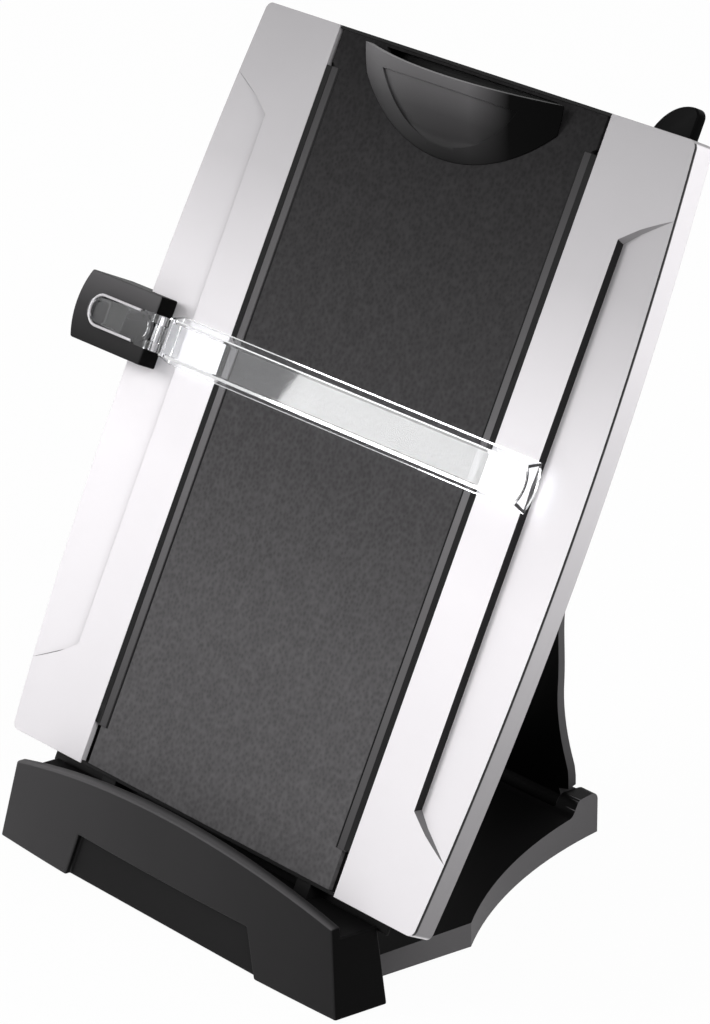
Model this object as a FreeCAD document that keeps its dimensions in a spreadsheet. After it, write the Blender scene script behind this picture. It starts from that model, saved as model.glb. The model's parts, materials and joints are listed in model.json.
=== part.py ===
import FreeCAD, Part
import math
import os
import Sketcher

# Desk copy holder: a front tray and a waisted base plate carry a tilting easel,
# held up by a flared leg whose bar runs in two tracks on the back of the easel.
# A paper clip, a line guide on an edge slider and a pull-up memo board ride on the easel.
# World frame: +Z up, Y from front to back, origin on the floor at the centre of the base.
# Easel frame: X across the board, Y from its front face to its back, Z up along the board.

doc = FreeCAD.newDocument("copy_holder")
sheet = doc.addObject("Spreadsheet::Sheet", "Sizes")
sheet_rows = []


class Size:
    """A number together with the formula that gives it from the sheet."""

    def __init__(self, value, text):
        self.value = float(value)
        self.text = text

    def joined(self, other, sign, value):
        return Size(value, "(%s %s %s)" % (self.text, sign, other.text))

    def __add__(self, other):
        other = size(other)
        return self.joined(other, "+", self.value + other.value)

    def __sub__(self, other):
        other = size(other)
        return self.joined(other, "-", self.value - other.value)

    def __mul__(self, other):
        other = size(other)
        return self.joined(other, "*", self.value * other.value)

    def __truediv__(self, other):
        other = size(other)
        return self.joined(other, "/", self.value / other.value)

    def __radd__(self, other):
        return size(other) + self

    def __rsub__(self, other):
        return size(other) - self

    def __rmul__(self, other):
        return size(other) * self

    def __rtruediv__(self, other):
        return size(other) / self

    def __neg__(self):
        return size(0) - self


def size(number):
    if isinstance(number, Size):
        return number
    return Size(number, "%.6g" % number)


def put(name, value, note):
    """Keeps one driving dimension in the sheet and returns it."""
    row = len(sheet_rows) + 1
    sheet_rows.append(name)
    sheet.set("A%d" % row, note)
    sheet.set("B%d" % row, "%g" % value)
    sheet.setAlias("B%d" % row, name)
    return Size(value, "Sizes." + name)


def sine(angle):
    return Size(math.sin(math.radians(angle.value)), "sin(%s * 1deg)" % angle.text)


def cosine(angle):
    return Size(math.cos(math.radians(angle.value)), "cos(%s * 1deg)" % angle.text)


def tangent(angle):
    return Size(math.tan(math.radians(angle.value)), "tan(%s * 1deg)" % angle.text)


def root(square):
    return Size(math.sqrt(square.value), "sqrt(%s)" % square.text)


def angle_of(opposite, adjacent):
    ratio = opposite / adjacent
    return Size(math.degrees(math.atan(ratio.value)), "(atan(%s) / 1deg)" % ratio.text)


# Driving dimensions: base
base_depth = put("base_depth", 185, "front of the tray to the back of the plate")
foot_gap = put("foot_gap", 1, "floor to the underside of the mouldings")
foot_radius = put("foot_radius", 6, "rubber foot")
foot_recess = put("foot_recess", 1.6, "depth of the seat of a foot")
tray_half = put("tray_half", 105.8, "half width of the tray at the floor")
tray_half_top = put("tray_half_top", 99, "half width of the tray at its lip ends")
tray_depth = put("tray_depth", 23.9, "tray, front to back at the floor")
lip_lean = put("lip_lean", 3.6, "how far the lip leans back at its ends")
lip_end = put("lip_end", 33.6, "height of the lip at its ends")
lip_peak = put("lip_peak", 44, "height of the lip in the middle")
lip_wall = put("lip_wall", 4.1, "thickness of the lip at its top")
front_bow = put("front_bow", 3, "how far the tray front bows out")
shelf_height = put("shelf_height", 29.6, "height of the paper shelf")
recess_low = put("recess_low", 61, "half width of the front recess at the floor")
recess_high = put("recess_high", 53, "half width of the front recess at its top")
recess_top = put("recess_top", 19, "height of the front recess")
recess_depth = put("recess_depth", 3, "depth of the front recess")
plate_half = put("plate_half", 86, "half width of the base plate behind the tray")
plate_shoulder = put("plate_shoulder", 55, "straight part of the plate sides")
plate_waist = put("plate_waist", 7.5, "how far the plate sides curve inwards")
plate_rear_half = put("plate_rear_half", 33.4, "half width of the plate at the back")
plate_front_top = put("plate_front_top", 9.5, "height of the plate at the tray")
plate_rear_top = put("plate_rear_top", 12.2, "height of the plate before the ears")
ear_top = put("ear_top", 18, "height of the rear ears")
ear_wall = put("ear_wall", 7.4, "thickness of a rear ear")
ear_length = put("ear_length", 19, "length of a rear ear with its sweep")
tongue_length = put("tongue_length", 16, "tongue of the plate under the tray")
tongue_thick = put("tongue_thick", 2.4, "thickness of that tongue")
tongue_half = put("tongue_half", 72, "half width of that tongue")
seat_gap = put("seat_gap", 0.1, "play of parts that seat in each other")
run_gap = put("run_gap", 0.3, "play of parts that move past each other")
pin_fit = put("pin_fit", 0.05, "radial play of a bore on its pin")

rib = put("rib", 2, "ribs between the pockets of the mouldings")
plate_skin = put("plate_skin", 2.5, "top skin of the base plate")
tray_skin = put("tray_skin", 3.4, "top skin of the tray")
cell = put("cell", 29, "width of the pockets under the base plate")
cell_back = put("cell_back", 76, "length of the front pockets")
cell_rear = put("cell_rear", 36, "length of the rear pockets")
frame_skin = put("frame_skin", 2.4, "front skin of the easel frame")
column = put("column", 29, "width of the pockets behind the frame")
column_high = put("column_high", 258, "upper end of those pockets")
cell_columns = 5
cell_rows = 6

# Driving dimensions: easel and its hinge
board_setback = put("board_setback", 19.7, "tray front to the foot of the board")
board_lift = put("board_lift", 35.1, "floor to the front foot of the board")
lean = put("lean", 25, "lean of the board from upright, in degrees")
board_width = put("board_width", 250, "width of the board")
board_height = put("board_height", 300, "height of the board")
board_thick = put("board_thick", 9, "thickness of the board at its edge")
corner_radius = put("corner_radius", 3, "outer corners of the board")
pivot_depth = put("pivot_depth", 5, "easel pivot behind the front face")
pivot_drop = put("pivot_drop", 9, "easel pivot below the foot of the board")
lug_centre = put("lug_centre", 61, "hinge lugs from the middle")
lug_width = put("lug_width", 8, "width of a hinge lug")
lug_radius = put("lug_radius", 4, "round end of a hinge lug")
hinge_pin_radius = put("hinge_pin_radius", 2, "easel pins and leg pin")
seam_half = put("seam_half", 79.4, "half width between the silver panels")
silver_wall = put("silver_wall", 2.2, "wall of a silver panel")
silver_body = put("silver_body", 6.2, "depth of the thick part of a silver panel")
facet_line = put("facet_line", 104.1, "long wall of the sunken facet")
facet_depth = put("facet_depth", 3.5, "depth of the facet at its long wall")
facet_low = put("facet_low", 40.8, "lower end of the long wall")
facet_high = put("facet_high", 258.5, "upper end of the long wall")
facet_mitre = put("facet_mitre", 13.7, "rise of the mitred facet ends")
facet_draft = put("facet_draft", 1.5, "slope of the mitred ends at the floor")
panel_sink = put("panel_sink", 0.4, "grained panel below the silver face")
panel_thick = put("panel_thick", 1.8, "thickness of the grained panel")
panel_half = put("panel_half", 75.3, "half width of the grained panel")
panel_half_top = put("panel_half_top", 77.4, "half width above the rails")
panel_edge = put("panel_edge", 1.4, "frame edge shown round the panel")
rail_width = put("rail_width", 3.2, "rails beside the grained panel")
rail_low = put("rail_low", 17, "lower end of the rails")
rail_high = put("rail_high", 284, "upper end of the rails")
slot_depth = put("slot_depth", 5, "depth of the slots below the rails")

# Driving dimensions: back of the easel
cover_half = put("cover_half", 114.4, "half width of the rear cover")
cover_low = put("cover_low", 8, "lower edge of the rear cover")
cover_top_gap = put("cover_top_gap", 9, "rear cover below the top of the board")
cover_depth = put("cover_depth", 7, "depth of the rear cover")
cover_wall = put("cover_wall", 2, "wall of the rear cover")
track_inner = put("track_inner", 84, "inner face of a track from the middle")
track_width = put("track_width", 11, "width of a track")
track_floor = put("track_floor", 1.6, "track floor between cover and bar slot")
track_end_wall = put("track_end_wall", 5, "closed ends of a track")
bar_start = put("bar_start", 155, "height of the bar in the track at this lean")
bar_travel = put("bar_travel", 73.4, "travel of the bar in the track")
bar_radius = put("bar_radius", 2, "steel bar of the leg")
bar_play = put("bar_play", 0.35, "play of the bar across the track")
track_bow = put("track_bow", 1.48, "how far the slot bows to follow the bar")
track_back = put("track_back", 2.2, "outer wall of a track")
notch_radius = put("notch_radius", 2.2, "notches that hold the bar")
notch_depth = put("notch_depth", 0.9, "depth of a notch")
notch_count = 6

# Driving dimensions: leg
leg_pivot_inset = put("leg_pivot_inset", 8.3, "leg pivot before the back of the base")
leg_pivot_height = put("leg_pivot_height", 12.5, "height of the leg pivot")
barrel_radius = put("barrel_radius", 6.5, "barrel of the leg")
leg_thick = put("leg_thick", 3.6, "thickness of the leg")
leg_foot_half = put("leg_foot_half", 31.5, "half width of the leg above the ears")
leg_foot_start = put("leg_foot_start", 10, "shoulder of the leg above its pivot")
leg_half = put("leg_half", 79, "half width of the leg at its top")
leg_flare = put("leg_flare", 122, "height where the leg reaches its full width")
leg_waist = put("leg_waist", 9, "how far the leg sides curve inwards")
leg_skin = put("leg_skin", 1.6, "front skin of the leg")
leg_rim = put("leg_rim", 4, "rim round the pockets of the leg")
bar_lug = put("bar_lug", 9, "width of the lugs that hold the bar")

# Driving dimensions: paper clip
clip_half = put("clip_half", 65.5, "half width of the clip shell")
clip_drop = put("clip_drop", 32.6, "height of the clip shell")
clip_bulge = put("clip_bulge", 16, "how far the clip stands forward")
clip_top = put("clip_top", 297, "top of the clip on the board")
bracket_thick = put("bracket_thick", 2, "plate of the clip bracket")
bracket_half = put("bracket_half", 8, "half height of the clip bracket")
clip_wall = put("clip_wall", 1.8, "wall of the clip shell")
clip_rim_drop = put("clip_rim_drop", 4.2, "how far the rim falls towards the front")
clip_pivot_drop = put("clip_pivot_drop", 9, "clip pin below the top of the clip")
clip_pivot_out = put("clip_pivot_out", 3, "clip pin in front of the board")
clip_pin_radius = put("clip_pin_radius", 1.5, "clip pin")
clip_swing = put("clip_swing", 15, "swing of the clip, in degrees")
clip_ear = put("clip_ear", 4, "thickness of the clip ears")
clip_ear_centre = put("clip_ear_centre", 21, "clip ears from the middle")
clip_lug = put("clip_lug", 3.5, "thickness of the frame lugs of the clip")
thumb_half = put("thumb_half", 39.4, "half width of the thumb recess")
thumb_top = put("thumb_top", 7.5, "thumb recess below the top of the clip")
thumb_depth = put("thumb_depth", 0.9, "depth of the thumb recess")
thumb_drop = put("thumb_drop", 20.5, "height of the thumb recess")
pad_half = put("pad_half", 20, "half width of the grip pad under the clip")
pad_height = put("pad_height", 5, "height of the grip pad")
well_half = put("well_half", 50, "half width of the well behind the clip")
well_drop = put("well_drop", 29, "well below the top of the clip")
well_floor = put("well_floor", 6.6, "depth of the well from the front face")
spring_radius = put("spring_radius", 3.1, "outer radius of the clip spring")
spring_wire = put("spring_wire", 1.2, "wire of the clip spring")
spring_half = put("spring_half", 11, "half length of the clip spring")

# Driving dimensions: slider and line guide
slider_centre = put("slider_centre", 164.5, "height of the slider on the board")
slider_height = put("slider_height", 28, "slider along the board")
slider_over = put("slider_over", 9.5, "slider lip over the board")
slider_out = put("slider_out", 36.4, "slider beyond the edge of the board")
slider_round = put("slider_round", 3.6, "crown of the free end of the slider")
slider_front_out = put("slider_front_out", 9, "slider face in front of the board")
slider_back_wall = put("slider_back_wall", 2.6, "back plate of the slider")
brake_thick = put("brake_thick", 1.4, "felt brake against the board edge")
brake_half = put("brake_half", 9, "half length of the felt brake")
window_start = put("window_start", 18, "dark window from the board edge")
window_size = put("window_size", 10.5, "dark window on the slider face")
window_depth = put("window_depth", 2.6, "depth of the dark window")
tongue_start = put("tongue_start", 113.4, "inner end of the clear tongue from the middle")
clear_length = put("clear_length", 40.5, "length of the clear tongue")
clear_narrow = put("clear_narrow", 4.7, "half width of the tongue at its tip")
clear_wide = put("clear_wide", 6.5, "half width of the tongue at the hinge")
clear_thick = put("clear_thick", 2.3, "height of the rim of the tongue")
clear_rim = put("clear_rim", 1.2, "rim of the clear mouldings")
clear_floor = put("clear_floor", 0.9, "floor of the clear tongue")
guide_axis = put("guide_axis", 111.2, "guide hinge from the middle")
guide_axis_out = put("guide_axis_out", 8, "guide hinge in front of the board")
knuckle_radius = put("knuckle_radius", 2.2, "knuckles of the guide hinge")
knuckle_inner = put("knuckle_inner", 3.4, "half length of the guide knuckle")
guide_pin_radius = put("guide_pin_radius", 0.9, "pin of the guide hinge")
blade_start = put("blade_start", 107.2, "guide blade from the middle, at the hinge")
blade_end = put("blade_end", 108, "guide blade from the middle, at its free end")
blade_face_half = put("blade_face_half", 7.6, "half height of the blade face")
blade_edge_half = put("blade_edge_half", 9.7, "half height of the blade at its back edge")
blade_front_out = put("blade_front_out", 8, "blade face in front of the board")
blade_back_out = put("blade_back_out", 2, "blade edge in front of the board")
blade_wall = put("blade_wall", 1.5, "wall of the guide blade")
blade_crown = put("blade_crown", 2, "crown of the free end of the blade")

# Driving dimensions: memo board and fasteners
memo_half = put("memo_half", 104, "half width of the memo sheet")
memo_height = put("memo_height", 190, "height of the memo sheet")
memo_thick = put("memo_thick", 2, "thickness of the memo sheet")
memo_top_gap = put("memo_top_gap", 4, "memo sheet below the top of the board")
tab_inner = put("tab_inner", 89.5, "pointed end of the tab from the middle")
tab_width = put("tab_width", 22.5, "width of the tab")
tab_rise = put("tab_rise", 11.5, "tab above the top of the board")
tab_depth = put("tab_depth", 5.4, "depth of the tab")
screw_radius = put("screw_radius", 1.5, "shank of a screw")
head_radius = put("head_radius", 3, "head of a screw")
head_height = put("head_height", 1.3, "height of a screw head")
screw_length = put("screw_length", 7, "length of a screw below its head")
cover_screw_length = put("cover_screw_length", 10, "screws through cover, frame and panels")

# Places that follow from the driving dimensions
front = -(base_depth / 2)
rear = base_depth / 2
board_foot = front + board_setback
tray_back = front + tray_depth
edge = board_width / 2
pivot_y = board_foot + pivot_depth * cosine(lean) - pivot_drop * sine(lean)
pivot_z = board_lift - pivot_depth * sine(lean) - pivot_drop * cosine(lean)
leg_y = rear - leg_pivot_inset
cover_back = board_thick + cover_depth
bar_reach = bar_radius + bar_play
slot_length = bar_travel + bar_reach * 2
bow_at_rest = 4 * track_bow * bar_reach * (bar_travel + bar_reach) / (slot_length * slot_length)
bar_depth = cover_back + track_floor + bar_reach + bow_at_rest
bar_y = board_foot + bar_depth * cosine(lean) + bar_start * sine(lean)
bar_z = board_lift - bar_depth * sine(lean) + bar_start * cosine(lean)
leg_reach_y = leg_y - bar_y
leg_reach_z = bar_z - leg_pivot_height
leg_length = root(leg_reach_y * leg_reach_y + leg_reach_z * leg_reach_z)
leg_lean = angle_of(leg_reach_y, leg_reach_z)
clip_pivot_z = clip_top - clip_pivot_drop
slider_left = -(edge + slider_out)
rim_radius = (clip_half * clip_half + clip_drop * clip_drop) / (clip_drop * 2)
ball_rise = rim_radius - clip_drop
ball_back = ((rim_radius * rim_radius - clip_bulge * clip_bulge - ball_rise * ball_rise)
             / (clip_bulge * 2))
ball_radius = root(ball_back * ball_back + rim_radius * rim_radius)
nothing = size(0)

plane_roles = {"XY": "XY_Plane", "XZ": "XZ_Plane", "YZ": "YZ_Plane"}
sub_parts = []
removals = []


def bind(item, name, value):
    item.setExpression(name, size(value).text)


def place(item, turn_axis, turn, base):
    """Sets the placement of a finished sub-part and ties it to the sheet."""
    spot = FreeCAD.Vector(*[size(part).value for part in base])
    item.Placement = FreeCAD.Placement(spot, FreeCAD.Rotation(turn_axis, size(turn).value))
    for letter, part in zip("xyz", base):
        bind(item, "Placement.Base." + letter, part)
    bind(item, "Placement.Rotation.Angle", turn)


def finish(item, on_easel):
    """Registers a sub-part, and stands it on the easel if it belongs there."""
    if on_easel:
        place(item, FreeCAD.Vector(-1, 0, 0), lean, (nothing, board_foot, board_lift))
    sub_parts.append(item)
    return item


def new_body(label):
    body = doc.addObject("PartDesign::Body", label)
    body.Label = label
    return body


def origin_plane(body, plane):
    for feature in body.Origin.OriginFeatures:
        if feature.Role == plane_roles[plane]:
            return feature
    raise RuntimeError("no plane " + plane)


def new_sketch(body, name, plane, level):
    """A sketch parallel to an origin plane, at a level along the third axis."""
    sketch = body.newObject("Sketcher::SketchObject", name)
    sketch.AttachmentSupport = [(origin_plane(body, plane), "")]
    sketch.MapMode = "FlatFace"
    shift = -size(level) if plane == "XZ" else size(level)
    sketch.AttachmentOffset = FreeCAD.Placement(
        FreeCAD.Vector(0, 0, shift.value), FreeCAD.Rotation())
    bind(sketch, "AttachmentOffset.Base.z", shift)
    return sketch


def tie(sketch, dimensions):
    """Adds dimensions to a sketch at once and ties each to its formula."""
    rules = [Sketcher.Constraint(kind, *references, value.value)
             for kind, references, value in dimensions]
    first = sketch.ConstraintCount
    sketch.addConstraint(rules)
    for number, (kind, references, value) in enumerate(dimensions):
        sketch.setExpression("Constraints[%d]" % (first + number), value.text)


def point_ties(piece, end, across, up):
    return [("DistanceX", (-1, 1, piece, end), size(across)),
            ("DistanceY", (-1, 1, piece, end), size(up))]


def draw(sketch, points):
    """A closed outline. A third entry in a point is the bulge of an arc to the next point,
    positive to the left of the way it runs."""
    first = sketch.GeometryCount
    pieces = []
    ends = []
    dimensions = []
    for number, point in enumerate(points):
        after = points[(number + 1) % len(points)]
        start = FreeCAD.Vector(size(point[0]).value, size(point[1]).value, 0)
        stop = FreeCAD.Vector(size(after[0]).value, size(after[1]).value, 0)
        if len(point) == 2:
            pieces.append(Part.LineSegment(start, stop))
            ends.append((1, 2))
        else:
            way = stop - start
            left = FreeCAD.Vector(-way.y, way.x, 0).normalize()
            middle = (start + stop) * 0.5 + left * size(point[2]).value
            outward = size(point[2]).value < 0
            pieces.append(Part.Arc(start, middle, stop) if outward
                          else Part.Arc(stop, middle, start))
            ends.append((1, 2) if outward else (2, 1))
            run = size(after[0]) - point[0]
            rise = size(after[1]) - point[1]
            bulge = size(point[2])
            square = run * run + rise * rise
            aside = (bulge * bulge - square / 4) / (2 * bulge * root(square))
            centre = (-1, 1, first + number, 3)
            if abs(run.value) > abs(rise.value):
                dimensions.append(("DistanceY", centre,
                                   (size(point[1]) + after[1]) / 2 + run * aside))
            else:
                dimensions.append(("DistanceX", centre,
                                   (size(point[0]) + after[0]) / 2 - rise * aside))
        dimensions.extend(point_ties(first + number, ends[-1][0], point[0], point[1]))
    sketch.addGeometry(pieces, False)
    joins = []
    for number in range(len(points)):
        following = (number + 1) % len(points)
        joins.append(Sketcher.Constraint("Coincident", first + number, ends[number][1],
                                         first + following, ends[following][0]))
    sketch.addConstraint(joins)
    tie(sketch, dimensions)
    return sketch


def draw_circle(sketch, across, up, radius):
    middle = FreeCAD.Vector(size(across).value, size(up).value, 0)
    circle = Part.Circle(middle, FreeCAD.Vector(0, 0, 1), size(radius).value)
    index = sketch.addGeometry(circle)
    tie(sketch, point_ties(index, 3, across, up) + [("Radius", (index,), size(radius))])
    return sketch


def grow(body, name, sketch, low, high, plane):
    """Pads a sketch that lies at the level low up to the level high."""
    pad = body.newObject("PartDesign::Pad", name)
    pad.Profile = sketch
    pad.Length = (size(high) - low).value
    bind(pad, "Length", size(high) - low)
    pad.Reversed = plane == "XZ"
    return pad


def remove(body, name, sketch, low, high, plane):
    """Pockets a sketch that lies at the level low up to the level high."""
    pocket = body.newObject("PartDesign::Pocket", name)
    pocket.Profile = sketch
    pocket.Length = (size(high) - low).value
    bind(pocket, "Length", size(high) - low)
    pocket.Reversed = plane != "XZ"
    removals.append(pocket)
    return pocket


def slab(body, name, plane, low, high, points):
    sketch = draw(new_sketch(body, name + "_outline", plane, low), points)
    return grow(body, name, sketch, low, high, plane)


def cut(body, name, plane, low, high, points):
    sketch = draw(new_sketch(body, name + "_outline", plane, low), points)
    return remove(body, name, sketch, low, high, plane)


def rod(body, name, plane, low, high, across, up, radius):
    sketch = draw_circle(new_sketch(body, name + "_circle", plane, low), across, up, radius)
    return grow(body, name, sketch, low, high, plane)


def bore(body, name, plane, low, high, across, up, radius):
    sketch = draw_circle(new_sketch(body, name + "_circle", plane, low), across, up, radius)
    return remove(body, name, sketch, low, high, plane)


def box_outline(left, low, right, high):
    return [(left, low), (right, low), (right, high), (left, high)]


def round_edges(body, name, radius, wanted):
    """Rounds the edges of the last feature for which wanted(edge) is true."""
    doc.recompute()
    base = body.Tip
    names = []
    for number, item in enumerate(base.Shape.Edges, 1):
        if wanted(item):
            names.append("Edge%d" % number)
    if not names:
        raise RuntimeError("no edges for " + name)
    fillet = body.newObject("PartDesign::Fillet", name)
    fillet.Base = (base, names)
    fillet.Radius = size(radius).value
    bind(fillet, "Radius", radius)
    return fillet


def repeat(body, name, feature, rows):
    """Repeats a feature along origin axes: each row has an axis, a count and a pitch."""
    pattern = body.newObject("PartDesign::MultiTransform", name)
    pattern.Originals = [feature]
    steps = []
    for axis, count, pitch in rows:
        step = body.newObject("PartDesign::LinearPattern", name + "_" + axis)
        for line in body.Origin.OriginFeatures:
            if line.Role == axis:
                step.Direction = (line, [""])
        step.Occurrences = count
        step.Length = (pitch * (count - 1)).value
        bind(step, "Length", pitch * (count - 1))
        steps.append(step)
    pattern.Transformations = steps
    body.Tip = pattern
    return pattern


def near(number, target):
    return abs(number - size(target).value) < 0.01


def cylinder(name, radius, length, centre, axis):
    """A plain cylinder from its middle, along one axis."""
    item = doc.addObject("Part::Cylinder", name)
    bind(item, "Radius", radius)
    bind(item, "Height", length)
    turns = {"X": (FreeCAD.Vector(0, 1, 0), 90), "Y": (FreeCAD.Vector(1, 0, 0), -90),
             "Z": (FreeCAD.Vector(0, 0, 1), 0)}
    start = list(centre)
    position = "XYZ".index(axis)
    start[position] = start[position] - size(length) / 2
    place(item, turns[axis][0], turns[axis][1], [size(part) for part in start])
    return item


def block(name, low, high):
    item = doc.addObject("Part::Box", name)
    for prop, start, stop in zip(("Length", "Width", "Height"), low, high):
        bind(item, prop, size(stop) - start)
    place(item, FreeCAD.Vector(0, 0, 1), 0, [size(part) for part in low])
    return item


def combine(kind, label, items):
    """A boolean or a compound of earlier solids, named by its label."""
    item = doc.addObject("Part::" + kind, label)
    item.Label = label
    if kind == "Cut":
        item.Base = items[0]
        item.Tool = items[1]
    elif kind == "Compound":
        item.Links = items
    else:
        item.Shapes = items
    return item


def screw_group(label, spots, axis, way, length):
    """Screws whose heads start at the spots and whose shanks run along the axis."""
    screws = []
    for number, spot in enumerate(spots):
        position = "XYZ".index(axis)
        head_centre = list(spot)
        head_centre[position] = spot[position] + way * head_height / 2
        shank_centre = list(spot)
        shank_centre[position] = spot[position] + way * (head_height + length) / 2
        name = "%s_%d" % (label, number)
        top = cylinder(name + "_head", head_radius, head_height, head_centre, axis)
        stem = cylinder(name + "_shank", screw_radius, head_height + length, shank_centre, axis)
        screws.append(combine("MultiFuse", name, [top, stem]))
    return combine("Compound", label, screws)


# Front tray
foot_spots = [(side * x, y) for side in (-1, 1) for x, y in (
    (tray_half - 14, front + 11),
    (plate_half - 10, tray_back + plate_shoulder - 12),
    (plate_rear_half - 8, rear - 30))]
foot_spots.append((nothing, nothing))
screw_spots = [(side * x, tray_back - 9) for side in (-1, 1) for x in (20, tongue_half - 12)]
lug_spots = [-lug_centre, lug_centre]
pocket_half = lug_width / 2 + run_gap


def make_tray():
    body = new_body("base_tray")
    loft_top = lip_peak + 2
    rise = (loft_top - foot_gap) / (lip_end - foot_gap)
    top_half = tray_half - (tray_half - tray_half_top) * rise
    top_front = front + lip_lean * rise
    lower = draw(new_sketch(body, "tray_floor", "XY", foot_gap), [
        (-tray_half, front, -front_bow), (tray_half, front),
        (tray_half, tray_back), (-tray_half, tray_back)])
    upper = draw(new_sketch(body, "tray_brim", "XY", loft_top), [
        (-top_half, top_front, -front_bow), (top_half, top_front),
        (top_half, tray_back), (-top_half, tray_back)])
    loft = body.newObject("PartDesign::AdditiveLoft", "tray_block")
    loft.Profile = lower
    loft.Sections = [upper]
    loft.Ruled = True
    reach = tray_half + 6
    arch = (lip_peak - lip_end) * (reach * reach) / (tray_half_top * tray_half_top)
    cut(body, "lip_arch", "XZ", front - 10, tray_back + 10, [
        (-reach, lip_peak - arch, arch), (reach, lip_peak - arch),
        (reach, loft_top + 5), (-reach, loft_top + 5)])
    lip_inside = front + lip_lean + lip_wall
    cut(body, "paper_channel", "XY", shelf_height, loft_top + 5,
        box_outline(-reach, lip_inside, reach, tray_back + 5))
    slope = angle_of(lip_lean, lip_end)
    recess = body.newObject("Sketcher::SketchObject", "recess_outline")
    recess.AttachmentSupport = [(origin_plane(body, "XZ"), "")]
    recess.MapMode = "FlatFace"
    recess.AttachmentOffset = FreeCAD.Placement(
        FreeCAD.Vector(0, 0, (-(front + recess_depth - front_bow)).value),
        FreeCAD.Rotation(FreeCAD.Vector(-1, 0, 0), slope.value))
    bind(recess, "AttachmentOffset.Base.z", -(front + recess_depth - front_bow))
    bind(recess, "AttachmentOffset.Rotation.Angle", slope)
    draw(recess, [(-recess_low, -3), (recess_low, -3), (recess_high, recess_top),
                  (-recess_high, recess_top)])
    pocket = body.newObject("PartDesign::Pocket", "front_recess")
    pocket.Profile = recess
    pocket.Length = 10
    pocket.Reversed = True
    removals.append(pocket)
    for number, spot in enumerate(lug_spots):
        cut(body, "lug_pocket_%d" % number, "YZ", spot - pocket_half, spot + pocket_half,
            box_outline(pivot_y - lug_radius - 1, pivot_z - lug_radius - 1,
                        tray_back + 5, shelf_height + 5))
        bore(body, "pin_hole_%d" % number, "YZ", spot - lug_width, spot + lug_width,
             pivot_y, pivot_z, hinge_pin_radius + pin_fit)
    cut(body, "tongue_seat", "XY", foot_gap - 2, foot_gap + tongue_thick,
        box_outline(-tongue_half - seat_gap, tray_back - tongue_length - seat_gap,
                    tongue_half + seat_gap, tray_back + 5))
    for number, (left, right) in enumerate(((-51, -25), (-15, 15), (25, 51))):
        cut(body, "tray_pocket_%d" % number, "XY", foot_gap - 1, shelf_height - tray_skin,
            box_outline(left, tray_back - 18.5, right, tray_back - rib))
    for number, (x, y) in enumerate(screw_spots):
        bore(body, "pilot_%d" % number, "XY", foot_gap, foot_gap + head_height + screw_length,
             x, y, screw_radius)
    for number in (0, 3):
        x, y = foot_spots[number]
        bore(body, "foot_seat_%d" % number, "XY", foot_gap - 1, foot_gap + foot_recess,
             x, y, foot_radius + seat_gap)
    return finish(body, False)


# Base plate with its waisted sides and rear ears
def make_plate():
    body = new_body("base_plate")
    shoulder = tray_back + plate_shoulder
    slab(body, "plate_block", "XY", foot_gap, ear_top, [
        (-plate_half, tray_back), (plate_half, tray_back),
        (plate_half, shoulder, plate_waist), (plate_rear_half, rear),
        (-plate_rear_half, rear, plate_waist), (-plate_half, shoulder)])
    sweep = rear - ear_length
    crest = rear - ear_length / 2
    middle = (plate_rear_top + ear_top) / 2
    cut(body, "plate_top", "YZ", -plate_half - 5, plate_half + 5, [
        (tray_back - 5, plate_front_top), (sweep, plate_rear_top, -1),
        ((sweep + crest) / 2, middle, 1), (crest, ear_top + 0.01),
        (crest, ear_top + 5), (tray_back - 5, ear_top + 5)])
    inner = plate_rear_half - ear_wall
    cut(body, "barrel_room", "XY", leg_pivot_height - barrel_radius - 0.5, ear_top + 5,
        box_outline(-inner, leg_y - barrel_radius - 1, inner, rear + 5))
    pocket_start = tray_back + 5
    pocket_roof = plate_front_top - plate_skin
    for number in range(4):
        left = (number - 2) * (cell + rib) + rib / 2
        cut(body, "front_pocket_%d" % number, "XY", foot_gap - 1, pocket_roof,
            box_outline(left, pocket_start, left + cell, pocket_start + cell_back))
    for number in (0, 1):
        left = (number - 1) * (cell + rib) + rib / 2
        low = pocket_start + cell_back + rib
        cut(body, "rear_pocket_%d" % number, "XY", foot_gap - 1, pocket_roof,
            box_outline(left, low, left + cell, low + cell_rear))
    for number in (1, 2):
        low = pocket_start + (cell_back + rib) * number / 3 - rib
        slab(body, "cross_rib_%d" % number, "XY", foot_gap, pocket_roof + 0.5,
             box_outline(-cell * 2, low, cell * 2, low + rib))
    slab(body, "tongue", "XY", foot_gap, foot_gap + tongue_thick,
         box_outline(-tongue_half, tray_back - tongue_length, tongue_half, tray_back + 1))
    bore(body, "leg_pin_hole", "YZ", -plate_rear_half + 2, plate_rear_half - 2,
         leg_y, leg_pivot_height, hinge_pin_radius + pin_fit)
    for number, (x, y) in enumerate(screw_spots):
        bore(body, "screw_hole_%d" % number, "XY", foot_gap - 1, foot_gap + 5,
             x, y, screw_radius)
        bore(body, "head_seat_%d" % number, "XY", foot_gap - 1, foot_gap + head_height,
             x, y, head_radius + seat_gap)
    rod(body, "foot_boss", "XY", foot_gap, pocket_roof + 0.5, nothing, nothing,
        foot_radius + rib)
    for number in (1, 2, 4, 5, 6):
        x, y = foot_spots[number]
        bore(body, "foot_seat_%d" % number, "XY", foot_gap - 1, foot_gap + foot_recess,
             x, y, foot_radius + seat_gap)
    round_edges(body, "ear_round", 3.5, lambda item: near(item.BoundBox.YMin, rear)
                and near(item.BoundBox.ZMin, ear_top) and item.BoundBox.XLength > 1)
    return finish(body, False)


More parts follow.
